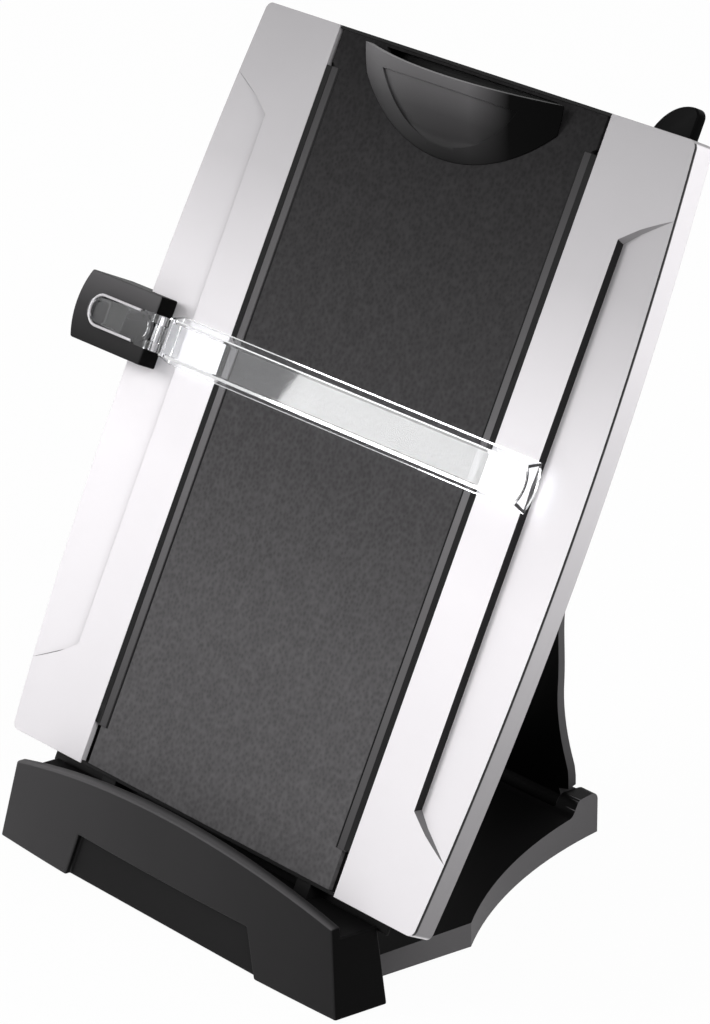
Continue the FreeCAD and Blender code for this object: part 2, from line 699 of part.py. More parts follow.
# Rubber feet, screws and pins of the base
def make_base_fittings():
    feet = [cylinder("foot_%d" % number, foot_radius, foot_gap + foot_recess,
                     (x, y, (foot_gap + foot_recess) / 2), "Z")
            for number, (x, y) in enumerate(foot_spots)]
    finish(combine("Compound", "base_feet", feet), False)
    heads = [(x, y, foot_gap) for x, y in screw_spots]
    finish(screw_group("base_screws", heads, "Z", 1, screw_length), False)
    pins = [cylinder("easel_pin_%d" % number, hinge_pin_radius, lug_width * 2,
                     (spot, pivot_y, pivot_z), "X") for number, spot in enumerate(lug_spots)]
    finish(combine("Compound", "easel_pins", pins), False)
    leg_pin = cylinder("leg_pin", hinge_pin_radius, plate_rear_half * 2 - 4,
                       (nothing, leg_y, leg_pivot_height), "X")
    finish(leg_pin, False)


# Leg: local Z runs from its pivot to its bar
def make_leg():
    body = new_body("support_leg")
    half = leg_thick / 2
    barrel_half = plate_rear_half - ear_wall - run_gap
    top = leg_length - bar_radius - 5
    bar_eye = bar_radius + 1.2
    slab(body, "leg_panel", "XZ", -half, half, [
        (-barrel_half, 1), (barrel_half, 1), (barrel_half, leg_foot_start),
        (leg_foot_half, leg_foot_start + 2, leg_waist), (leg_half, leg_flare),
        (leg_half, top - 8), (leg_half - 8, top), (8 - leg_half, top),
        (-leg_half, top - 8), (-leg_half, leg_flare, leg_waist),
        (-leg_foot_half, leg_foot_start + 2), (-barrel_half, leg_foot_start)])
    rod(body, "barrel", "YZ", -barrel_half, barrel_half, nothing, nothing,
        barrel_radius)
    for number, centre in enumerate((size(20) - leg_half, nothing, leg_half - 20)):
        slab(body, "bar_lug_%d" % number, "YZ", centre - bar_lug / 2, centre + bar_lug / 2, [
            (-half, top - 10), (half, top - 10),
            (bar_eye, leg_length, -bar_eye), (-bar_eye, leg_length)])
    bore(body, "pin_bore", "YZ", -barrel_half - 1, barrel_half + 1, nothing, nothing,
         hinge_pin_radius + pin_fit)
    bore(body, "bar_bore", "YZ", -leg_half, leg_half, nothing, leg_length,
         bar_radius + pin_fit)
    inside = leg_rim
    deep = half - leg_thick + leg_skin
    cut(body, "upper_pocket", "XZ", deep, half + 1, [
        (inside + 3 - leg_half, leg_flare + 2), (leg_half - inside - 3, leg_flare + 2),
        (leg_half - inside, top - 12), (leg_half - inside - 8, top - inside - 6),
        (inside + 8 - leg_half, top - inside - 6), (inside - leg_half, top - 12)])
    cut(body, "lower_pocket", "XZ", deep, half + 1, [
        (inside + 1 - leg_foot_half, leg_foot_start + 14, -leg_waist),
        (inside + 6 - leg_half, leg_flare - 4), (leg_half - inside - 6, leg_flare - 4, -leg_waist),
        (leg_foot_half - inside - 1, leg_foot_start + 14)])
    place(body, FreeCAD.Vector(1, 0, 0), leg_lean, (nothing, leg_y, leg_pivot_height))
    sub_parts.append(body)
    bar = cylinder("leg_bar", bar_radius, (track_inner + track_width - 3) * 2,
                   (nothing, bar_y, bar_z), "X")
    sub_parts.append(bar)


cover_high = board_height - cover_top_gap
cover_screw_spots = [(side * (cover_half - 4.6), height) for side in (-1, 1)
                     for height in (cover_low + 40, cover_high - 40)]


# Easel frame
def make_frame():
    body = new_body("easel_frame")
    inset = silver_wall + seat_gap
    back_edge = edge - inset
    slab(body, "back_plate", "XZ", silver_body + seat_gap, board_thick,
         box_outline(-back_edge, inset, back_edge, board_height - inset))
    core_half = seam_half - seat_gap
    core_front = panel_sink + panel_thick
    slab(body, "core", "XZ", core_front, board_thick,
         box_outline(-core_half, nothing, core_half, board_height))
    column_pitch = column + rib
    row_pitch = (column_high - cover_low + rib) / cell_rows
    left = (rib - cell_columns * column_pitch) / 2
    cell_pocket = cut(body, "cell", "XZ", core_front + frame_skin, board_thick + 1,
                      box_outline(left, cover_low, left + column, cover_low + row_pitch - rib))
    repeat(body, "cells", cell_pocket, [
        ("X_Axis", cell_columns, column_pitch), ("Z_Axis", cell_rows, row_pitch)])
    for number, (low, high) in enumerate(((nothing, panel_edge - seat_gap),
                                          (board_height - panel_edge + seat_gap, board_height))):
        slab(body, "edge_strip_%d" % number, "XZ", panel_sink, core_front,
             box_outline(-core_half, low, core_half, high))
    for side in (-1, 1):
        near_u = side * (core_half - rail_width)
        far_u = side * core_half
        left, right = (near_u, far_u) if side > 0 else (far_u, near_u)
        word = "right" if side > 0 else "left"
        slab(body, "rail_" + word, "XZ", nothing, core_front,
             box_outline(left, rail_low, right, rail_high))
        cut(body, "slot_" + word, "XZ", nothing, slot_depth,
            box_outline(left + 0.3, panel_edge + 0.4, right - 0.6, rail_low - 0.6))
    cut(body, "clip_well", "XZ", nothing, well_floor,
        box_outline(-well_half, clip_top - well_drop, well_half, clip_top + 0.6))
    lug_root = panel_edge - seat_gap * 2
    for side in (-1, 1):
        word = "right" if side > 0 else "left"
        spot = side * lug_centre
        slab(body, "hinge_lug_" + word, "YZ", spot - lug_width / 2, spot + lug_width / 2, [
            (pivot_depth - lug_radius, lug_root),
            (pivot_depth - lug_radius, -pivot_drop, -lug_radius),
            (pivot_depth + lug_radius, -pivot_drop), (pivot_depth + lug_radius, lug_root)])
    bore(body, "hinge_bore", "YZ", -lug_centre - lug_width, lug_centre + lug_width,
         pivot_depth, -pivot_drop, hinge_pin_radius + pin_fit)
    for number, (x, z) in enumerate(cover_screw_spots):
        bore(body, "screw_hole_%d" % number, "XZ", silver_body - 1, board_thick + 1, x, z,
             screw_radius)
    return finish(body, True)


# Rear cover with the pocket of the memo board


def make_cover():
    body = new_body("rear_cover")
    slab(body, "cover_block", "XZ", board_thick, cover_back,
         box_outline(-cover_half, cover_low, cover_half, cover_high))
    inner = memo_half + 1
    cut(body, "memo_pocket", "XZ", board_thick, cover_back - cover_wall,
        box_outline(-inner, cover_low + 6, inner, cover_high + 5))
    for number, centre in enumerate((-memo_half * 0.5, nothing, memo_half * 0.5)):
        slab(body, "cover_rib_%d" % number, "XZ", board_thick + run_gap * 2 + memo_thick,
             cover_back - cover_wall + 0.2,
             box_outline(centre - 1.5, cover_low + 6, centre + 1.5, cover_high - 4))
    tab_left = tab_inner - 1.5
    tab_right = tab_inner + tab_width + 1.5
    cut(body, "tab_gate", "XZ", board_thick, cover_back - cover_wall + 0.01,
        box_outline(tab_left, cover_high - 6, tab_right, cover_high + 5))
    for number, (x, z) in enumerate(cover_screw_spots):
        bore(body, "screw_hole_%d" % number, "XZ", board_thick, cover_back, x, z, screw_radius)
        bore(body, "head_seat_%d" % number, "XZ", cover_back - head_height, cover_back, x, z,
             head_radius + seat_gap)
    round_edges(body, "cover_corners", 6, lambda item: near(item.BoundBox.YLength, cover_depth)
                and near(item.BoundBox.ZLength, 0) and near(abs(item.BoundBox.XMin), cover_half))
    return finish(body, True)


# Tracks for the bar of the leg
def make_track(side, word):
    body = new_body("leg_track_" + word)
    inner = side * track_inner
    outer = side * (track_inner + track_width)
    left, right = (inner, outer) if side > 0 else (outer, inner)
    slot_front = cover_back + track_floor
    slot_back = slot_front + bar_reach * 2
    low = bar_start - bar_reach
    high = low + slot_length
    slab(body, "track_block", "XZ", cover_back, slot_back + track_bow + track_back,
         box_outline(left, low - track_end_wall, right, high + track_end_wall))
    closed = 2
    slot_left, slot_right = (left - 1, right - closed) if side > 0 else (left + closed, right + 1)
    cut(body, "bar_slot", "YZ", slot_left, slot_right, [
        (slot_back, low, -track_bow), (slot_back, high),
        (slot_front, high, track_bow), (slot_front, low)])
    for number in range(notch_count):
        along = bar_travel * number / (notch_count - 1) + bar_reach
        bow = 4 * track_bow * along * (slot_length - along) / (slot_length * slot_length)
        bore(body, "notch_%d" % number, "YZ", slot_left, slot_right,
             slot_front + bow + notch_radius - notch_depth, low + along, notch_radius)
    return finish(body, True)


# Silver side panels
def make_silver(side, word):
    body = new_body("side_panel_" + word)

    def across(value):
        return side * size(value)

    def ordered(points):
        return points if side > 0 else list(reversed(points))

    slab(body, "shell", "XZ", nothing, board_thick, ordered([
        (across(seam_half), nothing), (across(edge), nothing),
        (across(edge), board_height), (across(seam_half), board_height)]))
    round_edges(body, "outer_corners", corner_radius,
                lambda item: near(abs(item.BoundBox.XMin), edge)
                and near(item.BoundBox.YLength, board_thick) and near(item.BoundBox.XLength, 0))
    wall = silver_wall
    cut(body, "frame_room", "XZ", silver_body, board_thick + 1, ordered([
        (across(seam_half - 1), wall), (across(edge - wall), wall),
        (across(edge - wall), board_height - wall), (across(seam_half - 1), board_height - wall)]))
    cut(body, "hollow", "XZ", wall, silver_body + 1, ordered([
        (across(seam_half + wall), wall), (across(facet_line - wall), wall),
        (across(facet_line - wall), board_height - wall),
        (across(seam_half + wall), board_height - wall)]))
    pilot_front = cover_back - head_height - cover_screw_length
    for number, (x, z) in enumerate(cover_screw_spots):
        if x.value * side > 0:
            bore(body, "pilot_%d" % number, "XZ", pilot_front, board_thick, x, z, screw_radius)
    beyond = edge - facet_line + 3
    fall = facet_depth / (edge - facet_line)
    rise = facet_mitre / (edge - facet_line)
    front_sketch = draw(new_sketch(body, "facet_front", "XZ", -1), ordered([
        (across(facet_line), facet_low), (across(facet_line + beyond), facet_low - beyond * rise),
        (across(facet_line + beyond), facet_high + beyond * rise),
        (across(facet_line), facet_high)]))
    turn = angle_of(facet_depth, edge - facet_line)
    floor_sketch = body.newObject("Sketcher::SketchObject", "facet_floor")
    floor_sketch.AttachmentSupport = [(origin_plane(body, "XZ"), "")]
    floor_sketch.MapMode = "FlatFace"
    floor_sketch.AttachmentOffset = FreeCAD.Placement(
        FreeCAD.Vector(across(facet_line).value, 0, -facet_depth.value),
        FreeCAD.Rotation(FreeCAD.Vector(0, -side, 0), turn.value))
    bind(floor_sketch, "AttachmentOffset.Base.x", across(facet_line))
    bind(floor_sketch, "AttachmentOffset.Base.z", -facet_depth)
    bind(floor_sketch, "AttachmentOffset.Rotation.Angle", turn)
    slant = beyond * root(1 + fall * fall)
    draw(floor_sketch, ordered([
        (nothing, facet_low + facet_draft),
        (side * slant, facet_low - beyond * rise + facet_draft),
        (side * slant, facet_high + beyond * rise - facet_draft),
        (nothing, facet_high - facet_draft)]))
    facet = body.newObject("PartDesign::SubtractiveLoft", "facet")
    facet.Profile = floor_sketch
    facet.Sections = [front_sketch]
    facet.Ruled = True
    removals.append(facet)
    return finish(body, True)


# Grained centre panel
def make_centre_panel():
    body = new_body("center_panel")
    top = board_height - panel_edge
    slab(body, "panel_sheet", "XZ", panel_sink, panel_sink + panel_thick, [
        (-panel_half, panel_edge), (panel_half, panel_edge),
        (panel_half, rail_high + 0.6), (panel_half_top, rail_high + 2),
        (panel_half_top, top), (-panel_half_top, top),
        (-panel_half_top, rail_high + 2), (-panel_half, rail_high + 0.6)])
    cut(body, "clip_gap", "XZ", nothing, panel_sink + panel_thick + 1, [
        (-well_half, clip_top + 0.6, 1 - well_drop),
        (well_half, clip_top + 0.6)])
    return finish(body, True)


# Paper clip: a scoop cut from a hollow ball whose centre lies behind and above the board
def dome(name, shrink):
    ball = doc.addObject("Part::Sphere", name)
    bind(ball, "Radius", ball_radius - shrink)
    place(ball, FreeCAD.Vector(0, 0, 1), 0, (nothing, ball_back, clip_top + ball_rise))
    return ball


def make_clip():
    ear_face = clip_ear_centre + clip_ear / 2 + run_gap
    bracket = new_body("clip_bracket")
    slab(bracket, "bracket_plate", "XZ", well_floor - seat_gap - bracket_thick,
         well_floor - seat_gap, box_outline(-ear_face - clip_lug, clip_pivot_z - bracket_half,
                                            ear_face + clip_lug, clip_pivot_z + bracket_half))
    lug_round = clip_pin_radius + 1.6
    for number, low in enumerate((-ear_face - clip_lug, ear_face)):
        slab(bracket, "bracket_lug_%d" % number, "YZ", low, low + clip_lug, [
            (well_floor - seat_gap - 1, clip_pivot_z - 4.6),
            (well_floor - seat_gap - 1, clip_pivot_z + 4.6),
            (-clip_pivot_out, clip_pivot_z + lug_round, -lug_round),
            (-clip_pivot_out, clip_pivot_z - lug_round)])
    bore(bracket, "clip_pin_hole", "YZ", -ear_face - clip_lug - 1, ear_face + clip_lug + 1,
         -clip_pivot_out, clip_pivot_z, clip_pin_radius + pin_fit)
    finish(bracket, True)

    shell = combine("Cut", "clip_hollow", [dome("clip_outer", nothing),
                                           dome("clip_inner", clip_wall)])
    limit = new_body("clip_limit")
    rim_front = clip_top - clip_rim_drop * (1 + 1 / clip_bulge)
    relief = (clip_top - clip_pivot_z + 2) * tangent(clip_swing + 2)
    slab(limit, "limit_block", "YZ", -clip_half - 5, clip_half + 5, [
        (panel_sink - 0.2, clip_top - clip_drop - 5), (panel_sink - 0.2, clip_pivot_z - 2),
        (panel_sink - 0.6 - relief, clip_top), (-clip_bulge - 1, rim_front),
        (-clip_bulge - 1, clip_top - clip_drop - 5)])
    half_shell = combine("MultiCommon", "clip_half_shell", [shell, limit])
    prism = new_body("thumb_prism")
    thumb_line = clip_top - thumb_top
    slab(prism, "thumb_pad", "XZ", -clip_bulge - 2, -clip_pivot_out, [
        (thumb_half, thumb_line), (-thumb_half, thumb_line, -thumb_drop)])
    thumb_tool = combine("Cut", "thumb_tool", [prism, dome("thumb_core", thumb_depth)])
    sunk = combine("Cut", "clip_sunk", [half_shell, thumb_tool])
    ears = []
    for number, side in enumerate((-1, 1)):
        centre = side * clip_ear_centre
        ears.append(block("clip_web_%d" % number,
                          (centre - clip_ear / 2, -clip_bulge, clip_pivot_z - 3.5),
                          (centre + clip_ear / 2, -clip_pivot_out, clip_pivot_z + 3.5)))
        ears.append(cylinder("clip_eye_%d" % number, 3.5, clip_ear,
                             (centre, -clip_pivot_out, clip_pivot_z), "X"))
    ear_stock = combine("MultiFuse", "clip_ear_stock", ears)
    ear_part = combine("MultiCommon", "clip_ears", [ear_stock, dome("ear_core", clip_wall / 2)])
    joined = combine("MultiFuse", "clip_joined", [sunk, ear_part])
    hole = cylinder("clip_bore", clip_pin_radius + pin_fit, ear_face * 2,
                    (nothing, -clip_pivot_out, clip_pivot_z), "X")
    finish(combine("Cut", "clip_lever", [joined, hole]), True)

    pad_low = clip_top - clip_drop + clip_wall + 0.6
    pad = block("pad_block", (-pad_half, -clip_bulge, pad_low),
                (pad_half, panel_sink - 0.05, pad_low + pad_height))
    finish(combine("MultiCommon", "clip_pad", [pad, dome("pad_core", clip_wall + seat_gap)]),
           True)

    pin = cylinder("clip_pin_rod", clip_pin_radius, (ear_face + clip_lug) * 2,
                   (nothing, -clip_pivot_out, clip_pivot_z), "X")
    finish(combine("Compound", "clip_pin", [pin]), True)

    coil = cylinder("spring_coil", spring_radius, spring_half * 2,
                    (nothing, -clip_pivot_out, clip_pivot_z), "X")
    coil_hole = cylinder("spring_hole", spring_radius - spring_wire, spring_half * 3,
                         (nothing, -clip_pivot_out, clip_pivot_z), "X")
    sleeve = combine("Cut", "spring_sleeve", [coil, coil_hole])
    finish(combine("Compound", "clip_spring", [sleeve]), True)


# Slider on the left edge of the board
def make_slider():
    half = slider_height / 2
    low = slider_centre - half
    high = slider_centre + half
    inner = slider_over - edge
    back = board_thick + run_gap
    body = new_body("slider_front")
    slab(body, "housing", "XZ", -slider_front_out, back, [
        (slider_left, low), (inner, low), (inner, high),
        (slider_left, high, -slider_round)])
    cut(body, "edge_channel", "XZ", -run_gap, back + 1,
        box_outline(-edge - run_gap, low - 1, inner + 1, high + 1))
    window_right = -edge - window_start + window_size
    cut(body, "window", "XZ", -slider_front_out - 1, window_depth - slider_front_out,
        box_outline(window_right - window_size, slider_centre - window_size / 2,
                    window_right, slider_centre + window_size / 2))
    cut(body, "brake_seat", "XZ", nothing + 1, board_thick - 1,
        box_outline(-edge - run_gap - brake_thick, slider_centre - brake_half - seat_gap,
                    -edge, slider_centre + brake_half + seat_gap))
    for number, spot in enumerate(slider_screw_spots()):
        bore(body, "pilot_%d" % number, "XZ", back - screw_length, back + 1, spot[0], spot[2],
             screw_radius)
    finish(body, True)

    plate = new_body("slider_back")
    slab(plate, "back_plate", "XZ", back, back + slider_back_wall, [
        (slider_left, low), (inner, low), (inner, high),
        (slider_left, high, -slider_round)])
    for number, spot in enumerate(slider_screw_spots()):
        bore(plate, "screw_hole_%d" % number, "XZ", back, back + slider_back_wall + 1, spot[0],
             spot[2], screw_radius)
        bore(plate, "head_seat_%d" % number, "XZ", back + slider_back_wall - head_height,
             back + slider_back_wall + 1, spot[0], spot[2], head_radius + seat_gap)
    finish(plate, True)

    brake = block("brake_block",
                  (-edge - run_gap - brake_thick, nothing + 1, slider_centre - brake_half),
                  (-edge - run_gap, board_thick - 1, slider_centre + brake_half))
    finish(combine("Compound", "slider_brake", [brake]), True)
    finish(screw_group("slider_screws", slider_screw_spots(), "Y", -1, screw_length), True)


def slider_screw_spots():
    depth = board_thick + run_gap + slider_back_wall
    return [(-edge - slider_out / 2 - 4, depth, slider_centre + way * 8) for way in (-1, 1)]


# Clear tongue on the slider, its pin and the clear guide
def make_guide():
    body = new_body("guide_tongue")
    rim_front = -slider_front_out - clear_thick
    tip = -tongue_start - clear_length
    right = -tongue_start
    slab(body, "tongue_block", "XZ", rim_front, -slider_front_out, [
        (tip + clear_narrow, slider_centre - clear_narrow),
        (right - clear_wide, slider_centre - clear_wide, -clear_wide * 0.9),
        (right - clear_wide, slider_centre + clear_wide),
        (tip + clear_narrow, slider_centre + clear_narrow, -clear_narrow)])
    inset = clear_rim
    cut(body, "tongue_dish", "XZ", rim_front - 1, -slider_front_out - clear_floor, [
        (tip + clear_narrow, slider_centre - clear_narrow + inset),
        (right - clear_wide, slider_centre - clear_wide + inset, (inset - clear_wide) * 0.9),
        (right - clear_wide, slider_centre + clear_wide - inset),
        (tip + clear_narrow, slider_centre + clear_narrow - inset, inset - clear_narrow)])
    knuckle_outer = clear_wide + 0.6
    for number, way in enumerate((-1, 1)):
        near_z = slider_centre + way * (knuckle_inner + run_gap)
        far_z = slider_centre + way * knuckle_outer
        low, high = (near_z, far_z) if way > 0 else (far_z, near_z)
        slab(body, "arm_%d" % number, "XY", low, high, [
            (right - clear_wide, -slider_front_out - clear_thick),
            (-guide_axis, -guide_axis_out - knuckle_radius),
            (-guide_axis, -guide_axis_out), (-edge + slider_over + 0.2, -guide_axis_out),
            (-edge + slider_over + 0.2, -slider_front_out),
            (right - clear_wide, -slider_front_out)])
        rod(body, "knuckle_%d" % number, "XY", low, high, -guide_axis, -guide_axis_out,
            knuckle_radius)
    bore(body, "pin_hole", "XY", slider_centre - clear_wide * 2, slider_centre + clear_wide * 2,
         -guide_axis, -guide_axis_out, guide_pin_radius)
    finish(body, True)

    pin = cylinder("guide_pin_rod", guide_pin_radius, knuckle_outer * 2,
                   (-guide_axis, -guide_axis_out, slider_centre), "Z")
    finish(combine("Compound", "guide_pin", [pin]), True)

    blade = new_body("line_guide")
    wall = blade_wall
    back_sketch = draw(new_sketch(blade, "blade_back", "XZ", -blade_back_out), [
        (-blade_start, slider_centre - blade_edge_half),
        (blade_end, slider_centre - blade_edge_half, -blade_crown),
        (blade_end, slider_centre + blade_edge_half),
        (-blade_start, slider_centre + blade_edge_half)])
    front_sketch = draw(new_sketch(blade, "blade_front", "XZ", -blade_front_out), [
        (-blade_start, slider_centre - blade_face_half),
        (blade_end, slider_centre - blade_face_half, -blade_crown),
        (blade_end, slider_centre + blade_face_half),
        (-blade_start, slider_centre + blade_face_half)])
    loft = blade.newObject("PartDesign::AdditiveLoft", "blade_block")
    loft.Profile = back_sketch
    loft.Sections = [front_sketch]
    loft.Ruled = True
    trough_back = draw(new_sketch(blade, "trough_back", "XZ", 0.5 - blade_back_out), [
        (wall - blade_start, slider_centre - blade_edge_half + wall),
        (blade_end - wall, slider_centre - blade_edge_half + wall, -blade_crown),
        (blade_end - wall, slider_centre + blade_edge_half - wall),
        (wall - blade_start, slider_centre + blade_edge_half - wall)])
    trough_front = draw(new_sketch(blade, "trough_front", "XZ", wall - blade_front_out), [
        (wall - blade_start, slider_centre - blade_face_half + wall),
        (blade_end - wall, slider_centre - blade_face_half + wall, -blade_crown),
        (blade_end - wall, slider_centre + blade_face_half - wall),
        (wall - blade_start, slider_centre + blade_face_half - wall)])
    trough = blade.newObject("PartDesign::SubtractiveLoft", "trough")
    trough.Profile = trough_back
    trough.Sections = [trough_front]
    trough.Ruled = True
    removals.append(trough)
    knuckle_low = slider_centre - knuckle_inner
    knuckle_high = slider_centre + knuckle_inner
    slab(blade, "hinge_web", "XY", knuckle_low, knuckle_high, [
        (-guide_axis, -guide_axis_out - knuckle_radius),
        (1 - blade_start, -guide_axis_out), (1 - blade_start, knuckle_radius - guide_axis_out),
        (-guide_axis, knuckle_radius - guide_axis_out)])
    rod(blade, "hinge_knuckle", "XY", knuckle_low, knuckle_high, -guide_axis, -guide_axis_out,
        knuckle_radius)
    bore(blade, "hinge_bore", "XY", knuckle_low - 1, knuckle_high + 1, -guide_axis,
         -guide_axis_out, guide_pin_radius + pin_fit)
    finish(blade, True)


# Memo board: sheet and pull tab
def make_memo():
    top = board_height - memo_top_gap
    front_face = board_thick + run_gap
    sheet_body = new_body("memo_sheet")
    slab(sheet_body, "memo_plate", "XZ", front_face, front_face + memo_thick,
         box_outline(-memo_half, top - memo_height, memo_half, top))
    finish(sheet_body, True)
    tab = new_body("memo_tab")
    left = tab_inner
    right = tab_inner + tab_width
    root_height = top - 6
    slab(tab, "tab_fin", "XZ", front_face + memo_thick, front_face + memo_thick + tab_depth - 3, [
        (left, root_height), (right, root_height), (right, board_height + tab_rise - 3, 1.2),
        (right - 3.4, board_height + tab_rise, 1.6), (left, board_height + 1)])
    slab(tab, "tab_head", "XZ", front_face, front_face + memo_thick, [
        (left, top), (right, top), (right, board_height + tab_rise - 3, 1.2),
        (right - 3.4, board_height + tab_rise, 1.6), (left, board_height + 1)])
    finish(tab, True)


make_tray()
make_plate()
make_base_fittings()
make_leg()
make_frame()
make_cover()
make_track(-1, "left")
make_track(1, "right")
make_silver(-1, "left")
make_silver(1, "right")
make_centre_panel()
make_clip()
make_slider()
make_guide()
make_memo()
cover_heads = [(x, cover_back, z) for x, z in cover_screw_spots]
finish(screw_group("cover_screws", cover_heads, "Y", -1, cover_screw_length), True)

doc.recompute()
failed = [item.Label for item in doc.Objects
          if "Invalid" in item.State or "Error" in item.State]
if failed:
    raise RuntimeError("failed: " + ", ".join(failed))
for item in removals:
    taken = item.BaseFeature.Shape.Volume - item.Shape.Volume
    if taken < 0.01:
        raise RuntimeError("nothing removed by " + item.Label)

os.makedirs("parts", exist_ok=True)
for item in sub_parts:
    if item.Shape.isNull() or not item.Shape.isValid():
        raise RuntimeError("bad shape: " + item.Label)
    item.Shape.exportStep("parts/%s.step" % item.Label)
    box = item.Shape.optimalBoundingBox(False, False)
    print("%-18s solids %d volume %9.1f  x %.1f %.1f  y %.1f %.1f  z %.1f %.1f" % (
        item.Label, len(item.Shape.Solids), item.Shape.Volume, box.XMin, box.XMax,
        box.YMin, box.YMax, box.ZMin, box.ZMax))
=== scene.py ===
import json
import math

import bmesh
import bpy
from mathutils import Matrix, Vector


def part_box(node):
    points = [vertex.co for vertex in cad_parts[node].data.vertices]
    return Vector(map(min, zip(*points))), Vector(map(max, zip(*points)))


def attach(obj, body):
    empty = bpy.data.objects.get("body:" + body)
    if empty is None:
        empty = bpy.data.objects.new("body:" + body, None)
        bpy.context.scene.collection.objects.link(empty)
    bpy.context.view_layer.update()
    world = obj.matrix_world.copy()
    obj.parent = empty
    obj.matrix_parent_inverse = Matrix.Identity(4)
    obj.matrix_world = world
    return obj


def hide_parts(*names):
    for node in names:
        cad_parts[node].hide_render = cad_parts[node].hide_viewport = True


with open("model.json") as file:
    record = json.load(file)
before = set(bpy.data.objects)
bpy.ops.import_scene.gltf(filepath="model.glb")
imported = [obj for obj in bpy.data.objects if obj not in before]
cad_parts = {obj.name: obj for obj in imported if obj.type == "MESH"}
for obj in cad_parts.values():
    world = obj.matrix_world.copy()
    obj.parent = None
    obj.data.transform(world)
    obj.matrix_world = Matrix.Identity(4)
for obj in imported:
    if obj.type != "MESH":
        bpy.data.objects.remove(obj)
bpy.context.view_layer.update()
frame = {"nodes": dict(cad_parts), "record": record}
nodes = frame["nodes"]
print("stage: frame loaded")

# The board leans back about X. Points in its own frame are across, depth and height, in metres.
board = {
    "footY": -0.0728,
    "footZ": 0.0351,
    "lean": math.radians(25),
    "edge": 0.125,
    "height": 0.3,
}


def onBoard(across, depth, height):
    leanSin = math.sin(board["lean"])
    leanCos = math.cos(board["lean"])
    return Vector((
        across,
        board["footY"] + depth * leanCos + height * leanSin,
        board["footZ"] - depth * leanSin + height * leanCos,
    ))


boardMatrix = Matrix.Translation(onBoard(0, 0, 0)) @ Matrix.Rotation(-board["lean"], 4, "X")
boardUp = onBoard(0, 0, 1) - onBoard(0, 0, 0)
boardFront = onBoard(0, -1, 0) - onBoard(0, 0, 0)
boardBack = onBoard(0, 1, 0) - onBoard(0, 0, 0)

# Camera
cameraValues = {
    "azimuth": math.radians(51.82),
    "pitch": math.radians(18.83),
    "roll": math.radians(-0.11),
    "distance": 1.82156,
    "aim": (0.10014, -0.0728, 0.22808),
    "lens": 184.67,
    "sensor": 36,
    "clipEnd": 20,
    "shiftX": -0.01443,
    "shiftY": -0.1033,
}


def makeCamera(values):
    azimuth = values["azimuth"]
    pitch = values["pitch"]
    level = math.cos(pitch)
    forward = Vector((-math.sin(azimuth) * level, math.cos(azimuth) * level, -math.sin(pitch)))
    right = Vector((math.cos(azimuth), math.sin(azimuth), 0))
    up = right.cross(forward)
    turn = Matrix.Rotation(values["roll"], 3, forward)
    right = turn @ right
    up = turn @ up
    data = bpy.data.cameras.new("photoCamera")
    data.sensor_width = values["sensor"]
    data.lens = values["lens"]
    data.shift_x = values["shiftX"]
    data.shift_y = values["shiftY"]
    data.clip_end = values["clipEnd"]
    camera = bpy.data.objects.new("photoCamera", data)
    basis = Matrix((right, up, -forward)).transposed().to_4x4()
    spot = Vector(values["aim"]) - forward * values["distance"]
    camera.matrix_world = Matrix.Translation(spot) @ basis
    bpy.context.scene.collection.objects.link(camera)
    bpy.context.scene.camera = camera


makeCamera(cameraValues)


def newMaterial(name):
    material = bpy.data.materials.new(name)
    material.use_nodes = True
    tree = material.node_tree
    return material, tree, tree.nodes["Principled BSDF"]


def addNode(tree, kind, **settings):
    node = tree.nodes.new(kind)
    for key, value in settings.items():
        if key in node.inputs:
            node.inputs[key].default_value = value
        else:
            setattr(node, key, value)
    return node


# Floor, lights and surroundings
studio = {
    "floorSize": 6.0,
    "floorColour": (0.9, 0.9, 0.9, 1),
    "floorRough": 0.7,
    "floorWhite": 0.965,
    "worldLight": 0.34,
    "lights": [
        {"name": "keyLight", "spot": (-1.5, -1.9, 1.7), "aim": (0, 0, 0.12),
         "size": (1.3, 1.3), "power": 40},
        {"name": "sideLight", "spot": (1.9, -0.7, 1.4), "aim": (0, 0, 0.2),
         "size": (1.0, 1.0), "power": 22},
        {"name": "backLight", "spot": (0.5, 1.7, 1.5), "aim": (0, 0, 0.15),
         "size": (1.2, 1.2), "power": 10},
        {"name": "glareLight", "spot": (-1.42, -1.27, 0.67), "aim": (0.04, -0.02, 0.18),
         "size": (0.2, 0.5), "power": 1.9},
    ],
}


def seenDirectly(tree):
    # One for rays that show the surroundings themselves, nothing for rays that only light the object
    path = tree.nodes.new("ShaderNodeLightPath")
    glossy = addNode(tree, "ShaderNodeMath", operation="ADD")
    total = addNode(tree, "ShaderNodeMath", operation="ADD", use_clamp=True)
    tree.links.new(path.outputs["Is Camera Ray"], glossy.inputs[0])
    tree.links.new(path.outputs["Is Glossy Ray"], glossy.inputs[1])
    tree.links.new(glossy.outputs["Value"], total.inputs[0])
    tree.links.new(path.outputs["Is Transmission Ray"], total.inputs[1])
    return total.outputs["Value"]


